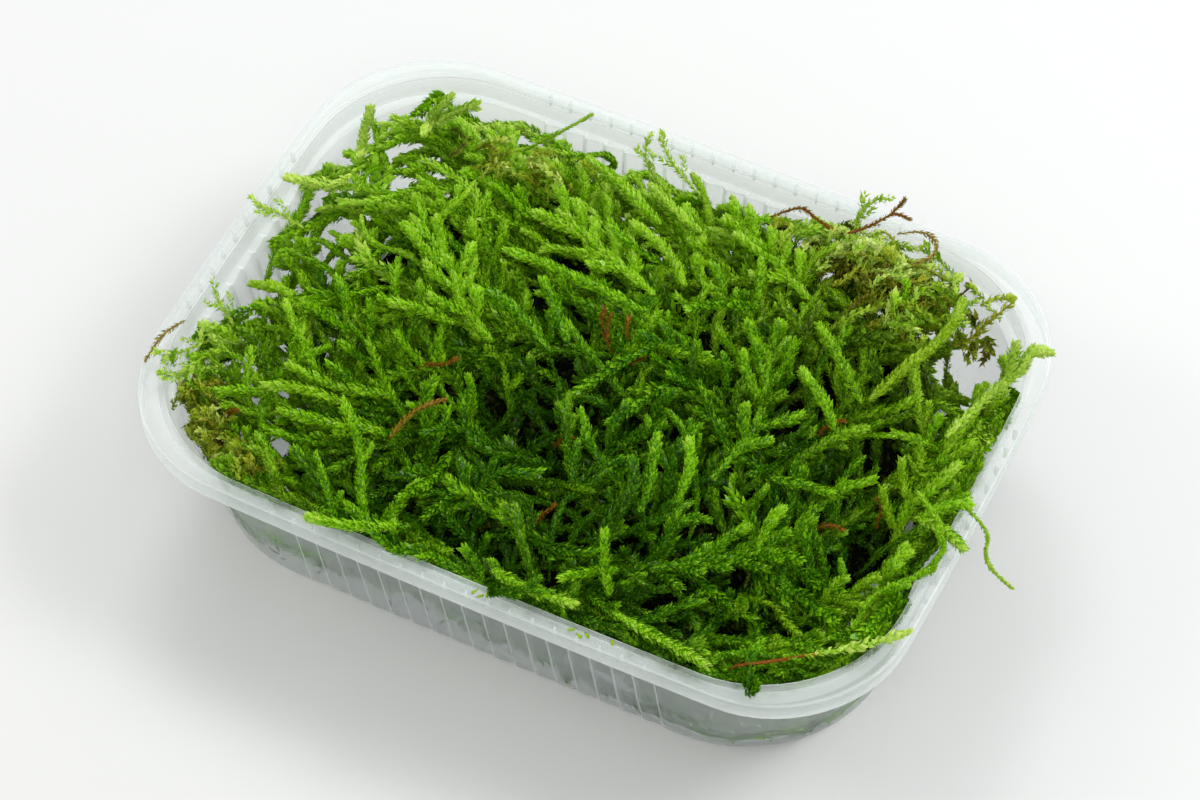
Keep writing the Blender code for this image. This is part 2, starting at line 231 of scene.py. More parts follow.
def bands(levels, count, inwards=False):
    """Quads between rings of count points, one ring on each level. Where rings run counterclockwise
    seen from the last level, they face outwards; inwards turns each quad over."""
    k = np.arange(count)
    low = (np.arange(levels - 1) * count)[:, None]
    after = (k + 1) % count
    quads = np.stack([low + k, low + after, low + count + after, low + count + k], -1).reshape(-1, 4)
    return np.roll(quads[:, ::-1], 1, axis=1) if inwards else quads


def closed_skin(levels, count):
    """The bands between rings, and a polygon on the first and the last ring."""
    k = np.arange(count)
    return [bands(levels, count), k[::-1][None, :], (k + (levels - 1) * count)[None, :]]


class Growth:
    """Gathers points, polygons and tints of many small shapes before they become one piece."""

    def __init__(self):
        self.points, self.polygons, self.tints, self.count = [], [], [], 0

    def add(self, points, polygons, tints):
        self.points.append(points)
        self.tints.append(tints)
        self.polygons.extend(p + self.count for p in polygons)
        self.count += len(points)

    def make(self, name, material):
        by_corners = {}
        for p in self.polygons:
            by_corners.setdefault(p.shape[1], []).append(p)
        joined = [np.vstack(same) for same in by_corners.values()]
        return piece(name, np.vstack(self.points), joined, material, False, leaf=np.vstack(self.tints))


def unit(vectors):
    return vectors / np.maximum(np.linalg.norm(vectors, axis=-1, keepdims=True), 1e-12)


def ease(value):
    share = np.clip(value, 0.0, 1.0)
    return share * share * (3 - 2 * share)


def blended(table, x, y, reach):
    """The table's values (columns past x, y) at points, each row weighted by
    exp(-(distance / reach)^2)."""
    rows = np.array(table, float)
    away = (x[..., None] / MM - rows[:, 0]) ** 2 + (y[..., None] / MM - rows[:, 1]) ** 2
    weights = np.exp(-away / reach**2) + 1e-9
    return (weights @ rows[:, 2:]) / weights.sum(-1, keepdims=True)


def heading_at(x, y):
    """The lie of the moss at points, in radians: headings blended as unit vectors."""
    rows = np.array(LIE, float)
    turned = np.radians(rows[:, 2])
    table = np.column_stack([rows[:, :2], np.cos(turned), np.sin(turned)])
    both = blended(table, x, y, LIE_REACH)
    return np.arctan2(both[..., 1], both[..., 0])


# ---------------------------------------------------------------- the tub


def corner_radius(inset):
    grown = (BASE_CORNER - RIM_CORNER) * np.minimum(inset, BASE_INSET) / BASE_INSET
    return RIM_CORNER + grown - np.maximum(inset - BASE_INSET, 0.0)


def pleated_line(pleats, half_straight):
    """Points along a side: distance along it, share of the pleat's depth (a saw tooth), and 1 on the
    tooth's step, where the plastic is thick."""
    mark, near = PLEAT_STEP_MARK, PLEAT_STEP_END
    run = pleats / 2 * PLEAT_PITCH
    line = [(-half_straight, 0.0, 0.0), (-run + 0.1 * MM, 0.0, 0.0)]
    for k in range(pleats):
        start = (k - pleats / 2) * PLEAT_PITCH
        end = start + PLEAT_PITCH
        line.append((start + mark, 0.0, 1.0))
        line.append((start + near, 0.05, 0.0))
        line.append((end - near, 0.95, 0.0))
        line.append((end - mark, 1.0, 1.0))
    line += [(run + 0.2 * MM, 0.0, 1.0), (run + 0.33 * MM, 0.0, 0.0), (half_straight, 0.0, 0.0)]
    return np.array(line)


def outline(inset, pleated):
    """The outline seen from above, counterclockwise: two sides and two corners, then the same turned by
    half a turn. Column 2 is 1 on a pleat's step. x shrinks by 1 - bow (y / half width)^2, y likewise."""
    half_x, half_y = RIM_LENGTH / 2, RIM_WIDTH / 2
    radius = corner_radius(inset)
    depth = PLEAT_DEPTH if pleated else 0.0
    straight_x, straight_y = half_x - inset - radius, half_y - inset - radius
    front = pleated_line(LONG_PLEATS, straight_x)
    side = pleated_line(SHORT_PLEATS, straight_y)
    turn = np.radians(90 * np.arange(1, CORNER_STEPS) / CORNER_STEPS)
    none = np.zeros(len(turn))
    over, along = radius * np.sin(turn), radius * np.cos(turn)
    parts = [
        np.column_stack([front[:, 0], -(half_y - inset - depth * front[:, 1]), front[:, 2]]),
        np.column_stack([straight_x + over, -straight_y - along, none]),
        np.column_stack([half_x - inset - depth * side[:, 1], side[:, 0], side[:, 2]]),
        np.column_stack([straight_x + along, straight_y + over, none]),
    ]
    half = np.vstack(parts)
    ring = np.vstack([half, half * (-1, -1, 1)])
    x, y = ring[:, 0].copy(), ring[:, 1].copy()
    ring[:, 0] *= 1 - SIDE_BOW * (y / half_y) ** 2
    ring[:, 1] *= 1 - SIDE_BOW * (x / half_x) ** 2
    if not pleated:
        ring[:, 2] = 0
    return ring


def make_tub(material):
    """One closed skin: outlines stacked along a profile, up the outside, over the rim and down the
    inside."""
    top = TUB_HEIGHT
    foot = BASE_INSET + BASE_RADIUS
    # inset, height, pleated, how dense the plastic looks
    profile = (
        (foot, 0.0, False, 0.5),
        (BASE_INSET + 0.9 * MM, 0.25 * MM, True, 0.35),
        (BASE_INSET + 0.25 * MM, 0.9 * MM, True, 0.35),
        (BASE_INSET, BASE_RADIUS, True, 0.1),
        (LEDGE_INSET - WALL + 0.1 * MM, top - LEDGE_DEPTH - WALL - 0.5 * MM, True, 0.0),
        (LEDGE_INSET - WALL, top - LEDGE_DEPTH - WALL, True, 0.9),
        (RIM_FLAT - WALL + 0.3 * MM, top - LEDGE_DEPTH - WALL, False, 0.3),
        (RIM_FLAT - WALL, top - WALL, False, 0.0),
        (WALL, top - WALL, False, 0.0),
        (WALL, top - SKIRT + 0.1 * MM, False, 0.9),
        (0.5 * WALL, top - SKIRT, False, 1.0),
        (0.05 * MM, top - SKIRT + 0.1 * MM, False, 1.0),
        (0.0, top - SKIRT + 0.5 * MM, False, 0.1),
        (0.0, top - 0.7 * MM, False, 0.1),
        (0.2 * MM, top - 0.2 * MM, False, 0.7),
        (0.7 * MM, top, False, 0.1),
        (RIM_FLAT - 0.2 * MM, top, False, 0.1),
        (RIM_FLAT + 0.1 * MM, top - 0.25 * MM, False, 0.8),
        (RIM_FLAT + 0.15 * MM, top - 0.8 * MM, False, 0.0),
        (RIM_FLAT + 0.4 * MM, top - LEDGE_DEPTH, False, 0.5),
        (LEDGE_INSET - 0.2 * MM, top - LEDGE_DEPTH, True, 0.6),
        (LEDGE_INSET, top - LEDGE_DEPTH - 0.2 * MM, True, 0.4),
        (BASE_INSET + WALL, WALL + BASE_RADIUS, True, 0.0),
        (BASE_INSET + WALL + 0.6 * MM, WALL + 0.5 * MM, True, 0.3),
        (foot + WALL, WALL, False, 0.7),
    )
    rings = []
    for inset, height, pleated, dense in profile:
        ring = outline(inset, pleated)
        thick = np.maximum(dense, 1.5 * ring[:, 2])
        rings.append(np.column_stack([ring[:, :2], np.full(len(ring), height), thick]))
    stacked = np.vstack(rings)
    thick = np.repeat(stacked[:, 3:4], 4, axis=1)
    skin = closed_skin(len(rings), len(rings[0]))
    made = piece("clear_tub", stacked[:, :3], skin, material, dense=thick)
    made.data.set_sharp_from_angle(angle=math.radians(40))
    return made


def make_rim_ribs(material):
    """Short upright ribs under the rim, between the skirt and the wall, at the pleats' pitch: one thin
    box each, turned to face its side."""
    depth, thick, low, high = 1.0 * MM, 0.35 * MM, TUB_HEIGHT - 4.3 * MM, TUB_HEIGHT - 1.0 * MM
    places = []
    for pleats, out, turn in ((LONG_PLEATS, RIM_WIDTH / 2, -90), (SHORT_PLEATS, RIM_LENGTH / 2, 0)):
        along = (np.arange(pleats + 1) - pleats / 2) * PLEAT_PITCH
        for side in (0, 180):
            same = np.ones(len(along))
            places.append(np.column_stack([along, out * same, (turn + side) * same]))
    along, out, turn = np.vstack(places).T
    turn = np.radians(turn)
    half_side = np.where(out < RIM_LENGTH / 2, RIM_LENGTH / 2, RIM_WIDTH / 2)
    bow = SIDE_BOW * (along / half_side) ** 2
    outer = out * (1 - bow) - 1.0 * MM
    corners = np.array([(r, a, z) for z in (0, 1) for r, a in ((0, 0), (1, 0), (1, 1), (0, 1))], float)
    reach = outer[:, None] - depth * (1 - corners[:, 0])
    sideways = along[:, None] + thick * (corners[:, 1] - 0.5)
    height = np.broadcast_to(low + (high - low) * corners[:, 2], reach.shape)
    x = reach * np.cos(turn)[:, None] - sideways * np.sin(turn)[:, None]
    y = reach * np.sin(turn)[:, None] + sideways * np.cos(turn)[:, None]
    points = np.stack([x, y, height], -1).reshape(-1, 3)
    box = np.array([(0, 3, 2, 1), (4, 5, 6, 7), (0, 1, 5, 4), (1, 2, 6, 5), (2, 3, 7, 6), (3, 0, 4, 7)])
    faces = (np.arange(len(along)) * 8)[:, None, None] + box
    tint = np.full((len(points), 4), 0.9)
    return piece("rim_ribs", points, [faces.reshape(-1, 4)], material, smooth=False, dense=tint)


# ---------------------------------------------------------------- the bed's shape


def bed_height(x, y):
    """A level, plus mounds and hollows as h exp(-(d / r)^2), lower along the back and the left wall."""
    height = np.full(np.shape(x), BED_TOP)
    for centre_x, centre_y, rise, radius in MOUNDS:
        away = (x - centre_x * MM) ** 2 + (y - centre_y * MM) ** 2
        height = height + rise * MM * np.exp(-away / (radius * MM) ** 2)
    height = height - 10 * MM * ease((y - 43 * MM) / (14 * MM))
    left_wall = ease((-68 * MM - x) / (12 * MM)) * ease((y + 35 * MM) / (10 * MM))
    return height - 6 * MM * left_wall


def wall_inset(z):
    """Distance from the rim's outside to the inner wall at a height."""
    slope = (BASE_INSET - LEDGE_INSET) / (TUB_HEIGHT - LEDGE_DEPTH - BASE_RADIUS)
    below = LEDGE_INSET + WALL + PLEAT_DEPTH + slope * (TUB_HEIGHT - LEDGE_DEPTH - z)
    above = RIM_FLAT + 0.6 * MM
    past_rim = 1.0 * MM
    inset = np.where(z < TUB_HEIGHT - LEDGE_DEPTH, below, above)
    return np.where(z > TUB_HEIGHT + 1.2 * MM, past_rim, inset)


def outside(x, y, inset):
    """Signed distance past a rounded rectangle at an inset from the rim, and the way out of it."""
    radius = corner_radius(inset)
    qx = np.abs(x) - (RIM_LENGTH / 2 - inset - radius)
    qy = np.abs(y) - (RIM_WIDTH / 2 - inset - radius)
    past = np.hypot(np.maximum(qx, 0), np.maximum(qy, 0)) + np.minimum(np.maximum(qx, qy), 0) - radius
    corner = (qx > 0) & (qy > 0)
    way_x = np.where(corner, qx, np.where(qx > qy, 1.0, 0.0))
    way_y = np.where(corner, qy, np.where(qx > qy, 0.0, 1.0))
    size = np.maximum(np.hypot(way_x, way_y), 1e-9)
    return past, way_x / size * np.sign(x), way_y / size * np.sign(y)


def kept_inside(paths, margin):
    """Paths with every point pushed back inside the tub's inner wall, by at least the margin, and kept
    over its floor."""
    x, y, z = paths[..., 0], paths[..., 1], np.maximum(paths[..., 2], WALL + FLOOR_ROOM)
    past, way_x, way_y = outside(x, y, wall_inset(z) + margin)
    push = np.maximum(past, 0)
    return np.stack([x - way_x * push, y - way_y * push, z], -1)


# ---------------------------------------------------------------- leaves, stems and fronds

LEAF_GRID = np.array([(0, 0), (0.48, -1), (0.48, 1), (1, 0)], float)  # share of length, side to side
LEAF_FACES = np.array([(0, 2, 3), (0, 3, 1)])  # two halves, folded along the middle

# Leaf styles: leaves a millimetre, leaf length, half width, and stem radius in mm, spread from the stem
# in degrees at root and tip, how far round the stem leaves stand, from straight up, in degrees, and a
# power: the smaller, the more leaves stand at the sides.
STYLES = {
    "shoot": (10.5, 1.85, 0.54, 0.66, 56, 26, 150, 1.0),
    "flat": (9.5, 2.15, 0.56, 0.50, 62, 34, 125, 0.55),
    "coarse": (5.5, 2.4, 0.85, 0.70, 52, 26, 130, 1.0),
    "axis": (5.0, 1.5, 0.50, 0.42, 42, 18, 130, 1.0),
    "feather": (6.5, 2.1, 0.40, 0.45, 66, 40, 135, 0.8),
    "fine": (3.6, 0.9, 0.27, 0.16, 62, 34, 170, 1.0),
    "strand": (7.0, 0.95, 0.34, 0.24, 50, 26, 180, 1.0),
    "husk": (6.0, 1.3, 0.26, 0.16, 62, 46, 180, 1.0),
    "tuft": (4.6, 1.75, 0.42, 0.10, 72, 46, 150, 0.8),
}


def curved(root, middle, tip, steps):
    """Paths (n, steps, 3) on quadratic curves: (1-s)^2 root + 2 s (1-s) middle + s^2 tip."""
    s = np.linspace(0, 1, steps)[None, :, None]
    return (1 - s) ** 2 * root[:, None] + 2 * s * (1 - s) * middle[:, None] + s**2 * tip[:, None]


def through(route, steps):
    """One path (1, steps, 3) on a Catmull-Rom curve through a route given in millimetres."""
    knots = np.array(route, float) * MM
    padded = np.vstack([2 * knots[0] - knots[1], knots, 2 * knots[-1] - knots[-2]])
    at = np.linspace(0, len(knots) - 1, steps)
    span = np.minimum(at.astype(int), len(knots) - 2)
    t = (at - span)[:, None]
    a, b, c, d = (padded[span + k] for k in range(4))
    both = 2 * b + (c - a) * t + (2 * a - 5 * b + 4 * c - d) * t**2 + (3 * b - a - 3 * c + d) * t**3
    return (0.5 * both)[None]


def frames(paths):
    """Along, up and sideways unit vectors at every point of the paths."""
    along = unit(np.gradient(paths, axis=1))
    up = np.array([0.0, 0.0, 1.0]) - along * along[..., 2:3]
    up = np.where(np.linalg.norm(up, axis=-1, keepdims=True) < 0.15, np.array([0.3, -0.9, 0.1]), up)
    up = unit(up - along * (up * along).sum(-1, keepdims=True))
    return along, up, np.cross(along, up)


def grow_leaves(growth, paths, style, tone, warm, rng, scale=None):
    """Leaves all along the paths. Leaf i of a path stands at share s of it and at an angle round it that
    steps by the golden section. A leaf's point at (u, v), with L its length and w its half width, is the
    path's point, plus outwards r + L sin(a) (u - u^2 / 2.2) - cup w v^2, plus along
    L (cos(a) u + (1 - cos a) u^2 / 2 - setback), plus sideways w v + lean L u: it springs out at the
    spread a and bends back to the stem."""
    per_mm, leaf, half, stem, spread_root, spread_tip, round_reach, power = STYLES[style]
    total, steps = paths.shape[:2]
    scale = np.ones(total) if scale is None else scale
    along, up, sideways = frames(paths)
    length = np.linalg.norm(np.diff(paths, axis=1), axis=2).sum(1)
    count = np.maximum(5, (length / MM * per_mm / scale).astype(int))
    owner = np.repeat(np.arange(total), count)
    order = np.arange(len(owner)) - np.repeat(np.cumsum(count) - count, count)
    s = 1 - (1 - (order + 0.5) / count[owner]) ** 1.08
    at = s * (steps - 1)
    low = np.minimum(at.astype(int), steps - 2)
    mix = (at - low)[:, None]

    def sampled(values):
        return values[owner, low] * (1 - mix) + values[owner, low + 1] * mix

    place, ahead = sampled(paths), unit(sampled(along))
    over, beside = unit(sampled(up)), unit(sampled(sideways))
    side = 2 * np.mod(order * GOLDEN_SECTION + rng.random(total)[owner], 1) - 1
    turn = np.radians(round_reach) * np.sign(side) * np.abs(side) ** power
    out = over * np.cos(turn)[:, None] + beside * np.sin(turn)[:, None]
    across = np.cross(ahead, out)
    taper = (0.6 + 0.4 * ease(s / 0.2)) * (1 - 0.22 * ease((s - 0.9) / 0.1))
    swell = 1 + 0.16 * np.sin(s * (length / (1.3 * MM))[owner] + 6.3 * rng.random(total)[owner])
    size = scale[owner] * taper * swell * rng.uniform(0.75, 1.25, len(owner))
    spread = np.radians(spread_root + (spread_tip - spread_root) * ease((s - 0.75) / 0.25))
    spread = spread * rng.uniform(0.65, 1.5, len(owner))
    u, v = LEAF_GRID.T
    cup, setback, lean = 0.55, 0.25, 0.18
    reach = leaf * MM * size[:, None]
    bend = u - u**2 / 2.2
    outwards = stem * MM * (scale[owner] * taper)[:, None] + reach * np.sin(spread)[:, None] * bend
    outwards = outwards - cup * half * MM * size[:, None] * v**2
    forwards = reach * (np.cos(spread)[:, None] * u + (1 - np.cos(spread)[:, None]) * u**2 / 2)
    forwards = forwards - setback * reach
    sidewards = half * MM * size[:, None] * v + rng.normal(0, lean, len(owner))[:, None] * reach * u
    points = (
        place[:, None]
        + out[:, None] * outwards[..., None]
        + ahead[:, None] * forwards[..., None]
        + across[:, None] * sidewards[..., None]
    )
    corners = len(u)
    faces = (np.arange(len(owner)) * corners)[:, None, None] + LEAF_FACES
    tints = np.empty((len(owner), corners, 4))
    tints[..., 0] = (tone[owner] + 0.20 * ease((s - 0.6) / 0.4))[:, None]
    tints[..., 1] = warm[owner][:, None]
    tints[..., 2] = u
    tints[..., 3] = rng.random(len(owner))[:, None]
    growth.add(points.reshape(-1, 3), [faces.reshape(-1, 3)], tints.reshape(-1, 4))


def grow_stems(growth, paths, radius, tone, warm, sides=6):
    """A thin closed tube along each path: rings of radius r sin(pi (0.06 + 0.88 s))^0.4 at share s."""
    total, steps = paths.shape[:2]
    _, up, sideways = frames(paths)
    s = np.linspace(0, 1, steps)
    width = np.asarray(radius)[:, None] * np.sin(np.pi * (0.06 + 0.88 * s)) ** 0.4
    turn = 2 * np.pi * np.arange(sides) / sides
    ring = up[:, :, None] * np.cos(turn)[:, None] + sideways[:, :, None] * np.sin(turn)[:, None]
    points = paths[:, :, None] + ring * width[:, :, None, None]
    k = np.arange(sides)
    quads = bands(steps, sides, inwards=True)
    first = (np.arange(total) * steps * sides)[:, None]
    ends = [first + k, first + (steps - 1) * sides + k[::-1]]
    tints = np.empty((total, steps, sides, 4))
    tints[..., 0] = tone[:, None, None] + 0.1 * s[:, None]
    tints[..., 1] = warm[:, None, None]
    tints[..., 2] = 0.5
    tints[..., 3] = 0.5
    faces = (first[:, :, None] + quads).reshape(-1, 4)
    growth.add(points.reshape(-1, 3), [faces, *ends], tints.reshape(-1, 4))


def side_branches(stems, per_stem, longest, rng, angle=(58, 32), flat=0.8, first=0.12):
    """Side branches of fronds, alternate left and right, from share first of the stem on. Branch j starts
    at share s_j, leaves the stem at an angle that closes towards the tip, is longest below the middle,
    and curves back towards the tip."""
    total, steps = stems.shape[:2]
    along, up, sideways = frames(stems)
    last = 0.97
    j = np.arange(per_stem)
    s = first + (last - first) * (j + rng.uniform(0.2, 0.8, (total, per_stem))) / per_stem
    at = s * (steps - 1)
    low = np.minimum(at.astype(int), steps - 2)
    mix = (at - low)[..., None]
    row = np.arange(total)[:, None]
    root = stems[row, low] * (1 - mix) + stems[row, low + 1] * mix
    ahead, over, beside = along[row, low], up[row, low], sideways[row, low]
    side = np.where(j % 2 == 0, 1.0, -1.0)[None, :, None]
    tilt = rng.normal(0.0, 1 - flat, (total, per_stem, 1)) + 0.12
    away = unit(beside * side + over * tilt)
    open_angle = np.radians(angle[0] + (angle[1] - angle[0]) * s + rng.normal(0, 7, s.shape))[..., None]
    out = ahead * np.cos(open_angle) + away * np.sin(open_angle)
    bell = 0.42 + 0.58 * np.sin(np.pi * np.clip(s * 0.92, 0, 1) ** 0.75)
    size = (longest[:, None] * bell * rng.uniform(0.72, 1.12, s.shape))[..., None]
    bow = rng.normal(0, 0.10, (total, per_stem, 1))
    middle = root + out * size * 0.55 + over * size * (0.07 + bow)
    tip = root + unit(out * 0.75 + ahead * 0.35) * size + over * size * rng.normal(0.0, 0.13, bow.shape)
    branches = curved(root.reshape(-1, 3), middle.reshape(-1, 3), tip.reshape(-1, 3), 6)
    return branches, np.repeat(np.arange(total), per_stem)


def scattered(spacing, rng, edge):
    """Points over the tub's opening on a jittered hexagonal grid, as far as an edge margin allows."""
    row_height = 0.866
    columns = int(RIM_LENGTH / spacing) + 2
    rows = int(RIM_WIDTH / (spacing * row_height)) + 2
    i, j = np.meshgrid(np.arange(columns), np.arange(rows))
    x = (i + 0.5 * (j % 2) - columns / 2) * spacing + rng.uniform(-0.5, 0.5, i.shape) * spacing
    y = (j - rows / 2) * spacing * row_height + rng.uniform(-0.5, 0.5, i.shape) * spacing
    x, y = x.ravel(), y.ravel()
    past, _, _ = outside(x, y, np.full(x.shape, LEDGE_INSET + edge))
    keep = past < 0
    return x[keep], y[keep]


def walked_to_wall(turn, flatness, insets):
    """Points that start on an oval well outside the tub, at turns round it, and step to one inset after
    another along the shortest way, and that way out."""
    x, y = 0.2 * np.cos(turn), 0.2 * np.sin(turn) * flatness
    for inset in insets:
        past, way_x, way_y = outside(x, y, inset)
        x, y = x - way_x * past, y - way_y * past
    return x, y, way_x, way_y


def along_walls(rng, count, turn_from, turn_to, inset, wander):
    """Places near the inner wall between two turns round the tub, in degrees from +X, at insets drawn
    between two, and headings along the wall, either way."""
    turn = np.radians(rng.uniform(turn_from, turn_to, count))
    insets = (rng.uniform(*inset, count) * MM for _ in range(3))
    x, y, way_x, way_y = walked_to_wall(turn, 0.75, insets)
    flip = np.where(rng.random(count) < 0.5, 0.0, np.pi)
    return x, y, np.arctan2(way_x, -way_y) + flip + np.radians(rng.normal(0, wander, count))


def lying(x, y, heading, length, lift, rise, sink, rng, bend=0.20):
    """Shoots whose tips are at (x, y) and whose bodies lie back against the heading: tip at lift over the
    bed, middle higher by rise, root sunk, with a sideways bow of about bend times the length, and a
    slight wave."""
    total, steps = len(x), 9
    way = np.column_stack([np.cos(heading), np.sin(heading)])
    beside = np.column_stack([-way[:, 1], way[:, 0]])
    tip_xy = np.column_stack([x, y])
    bow = beside * (rng.normal(0, bend, total) * length)[:, None]
    middle_xy = tip_xy - way * (length * 0.5)[:, None] + bow
    root_xy = tip_xy - way * length[:, None]
    tip = np.column_stack([tip_xy, bed_height(x, y) + lift])
    middle = np.column_stack([middle_xy, bed_height(*middle_xy.T) + lift + rise])
    root = np.column_stack([root_xy, bed_height(*root_xy.T) + lift - sink])
    paths = curved(root, middle, tip, steps)
    s = np.linspace(0, 1, steps)
    depth = rng.normal(0, 0.055, total)[:, None]
    wave = depth * np.sin(2 * np.pi * s + rng.uniform(0, 6.3, total)[:, None])
    paths[..., :2] += beside[:, None] * (wave * length[:, None])[..., None]
    paths[..., 2] += rng.normal(0, 0.03, total)[:, None] * length[:, None] * np.sin(2.5 * np.pi * s)
    return paths


HOLLOWS = (  # x, y and radius in millimetres: dark openings between the shoots
    (-12, -21, 6.5),
    (-31, -24, 4.0),
    (-2, -28, 6.0),
    (13, -41, 7.0),
    (-7, -51, 6.0),
    (44, -35, 6.5),
    (72, -20, 6.0),
    (42, 3, 5.0),
    (11, 24, 4.5),
    (60, -38, 4.0),
)

GAPS = (  # the same, with no moss at all
    (-60, 25, 3.4),
    (-67, 12, 3.0),
    (-59, -36, 2.2),
    (-54, 33, 2.4),
    (-76, -8, 3.0),
    (-85, -33, 6.0),
    (-82, -42, 6.0),
    (-76, -51, 6.5),
    (-67, -59, 5.0),
    (73, 46, 8.5),
    (65, 51, 5.0),
    (76, 35, 3.5),
)


def outside_hollows(paths, rng, firmness=0.9):
    """Which paths stay: those that keep clear of the gaps, and whose outer half keeps out of the hollows,
    but for a few that are let off."""
    keep = np.ones(len(paths), bool)
    spare = rng.random(len(paths)) > firmness
    rules = ((HOLLOWS, (0.55, 0.8, 1.0), spare), (GAPS, (0.2, 0.4, 0.6, 0.8, 1.0), False))
    for places, shares, free in rules:
        for x, y, radius in places:
            for share in shares:
                point = paths[:, int(share * (paths.shape[1] - 1))]
                near = np.hypot(point[:, 0] - x * MM, point[:, 1] - y * MM) < radius * MM
                keep &= ~near | free
    return keep


TOP_SHOOTS = (  # long shoots that lie on top of the rest: routes from root to tip, in millimetres
    ((8, 10, 48), (-4, 11, 49), (-17, 12, 49), (-27, 11, 50)),
    ((-6, -8, 48), (-14, -4, 50), (-22, -1, 50), (-28, -1, 50)),
    ((-4, -4, 48), (-11, 3, 49), (-16, 8, 49)),
    ((-28, -10, 48), (-35, -11, 50), (-42, -12, 50)),
    ((56, 1, 46), (50, 7, 47), (43, 12, 46)),
    ((59, 11, 46), (63, 21, 48), (67, 33, 48), (67, 42, 49)),
    ((52, -7, 44), (57, 0, 46), (61, 5, 45)),
    ((53, -31, 42), (53, -25, 44), (54, -20, 44)),
    ((34, -29, 45), (33, -21, 46), (30, -15, 45)),
    ((25, -38, 45), (24, -29, 47), (21, -24, 46)),
    ((30, -48, 43), (25, -51, 43), (20, -55, 43)),
    ((80, -9, 43), (85, -4, 44), (91, -2, 43)),
    ((12, 20, 48), (4, 27, 48), (-6, 31, 48)),
    ((-2, 36, 44), (-14, 42, 44), (-24, 45, 45)),
    ((-40, -36, 44), (-50, -38, 46), (-58, -40, 45)),
)

OLD_BITS = (  # dead brown shoots in the moss: x, y, heading in degrees, length
    (-2.5, 9.5, 119, 6),
    (0.5, 8, 119, 8),
    (4, 8.5, 119, 5),
    (12, 0.5, 15, 8),
    (-24, -16, 29, 9),
    (6, -22, 20, 4),
    (-32, -37, 100, 5),
    (10, -38, 60, 5),
    (56, 6, 60, 9),
    (66, -16, 15, 6),
    (70, -7, 110, 5),
    (-61, -46, 20, 3),
)

# Tufts of thin strands: x, y and their spread in mm, count, lengths in mm, warmth, tone, heading and its
# spread in degrees, lift over the bed in mm, and leaf style.
TUFTS = (
    (42, 50, (9, 4), 110, (4, 11), 1.00, 0.30, (95, 70), 3.5, "tuft"),
    (42, 52, (10, 3.5), 90, (4, 10), 0.45, 1.15, (95, 60), 8.0, "tuft"),
    (54, 44, (5, 5), 50, (5, 11), 0.95, 0.35, (80, 60), 2.5, "tuft"),
    (57, 43, (4, 5), 50, (5, 11), 0.40, 0.95, (80, 50), 4.5, "tuft"),
    (46, 50, (8, 4), 10, (8, 16), 0.85, 0.80, (80, 60), 8.0, "fine"),
    (-77, -32, (1.6, 6), 26, (4, 9), 0.20, 0.95, (165, 40), 2.5, "tuft"),
    (-73, -44, (1.4, 1.6), 34, (2.5, 5.5), 0.80, 0.60, (160, 70), -0.4, "tuft"),
    (-68, -50, (1.8, 1.4), 34, (2.5, 5.5), 0.80, 0.60, (160, 70), -0.4, "tuft"),
    (-61, -54, (2.6, 1.0), 34, (2.5, 5.5), 0.80, 0.60, (160, 70), -0.4, "tuft"),
    (-52, -57, (3.0, 0.8), 34, (2.5, 5.5), 0.80, 0.60, (160, 70), -0.4, "tuft"),
    (-35, 38, (6, 3), 26, (4, 10), 0.62, 0.62, (90, 70), 3.5, "tuft"),
    (76, 33, (1.5, 1.5), 8, (4, 7), 0.95, 0.55, (-60, 40), 3.0, "tuft"),
)

SIDES = ("left", "middle_left", "middle_right", "right")
REGIONS = [f"{depth}_{side}" for side in SIDES for depth in ("front", "back")]


def region_of(paths):
    """Which region of the bed each path's tip is in: four along the tub, front or back."""
    x, y = paths[:, -1, 0], paths[:, -1, 1]
    return np.digitize(x, [-45 * MM, -2 * MM, 40 * MM]) * 2 + (y > -4 * MM)


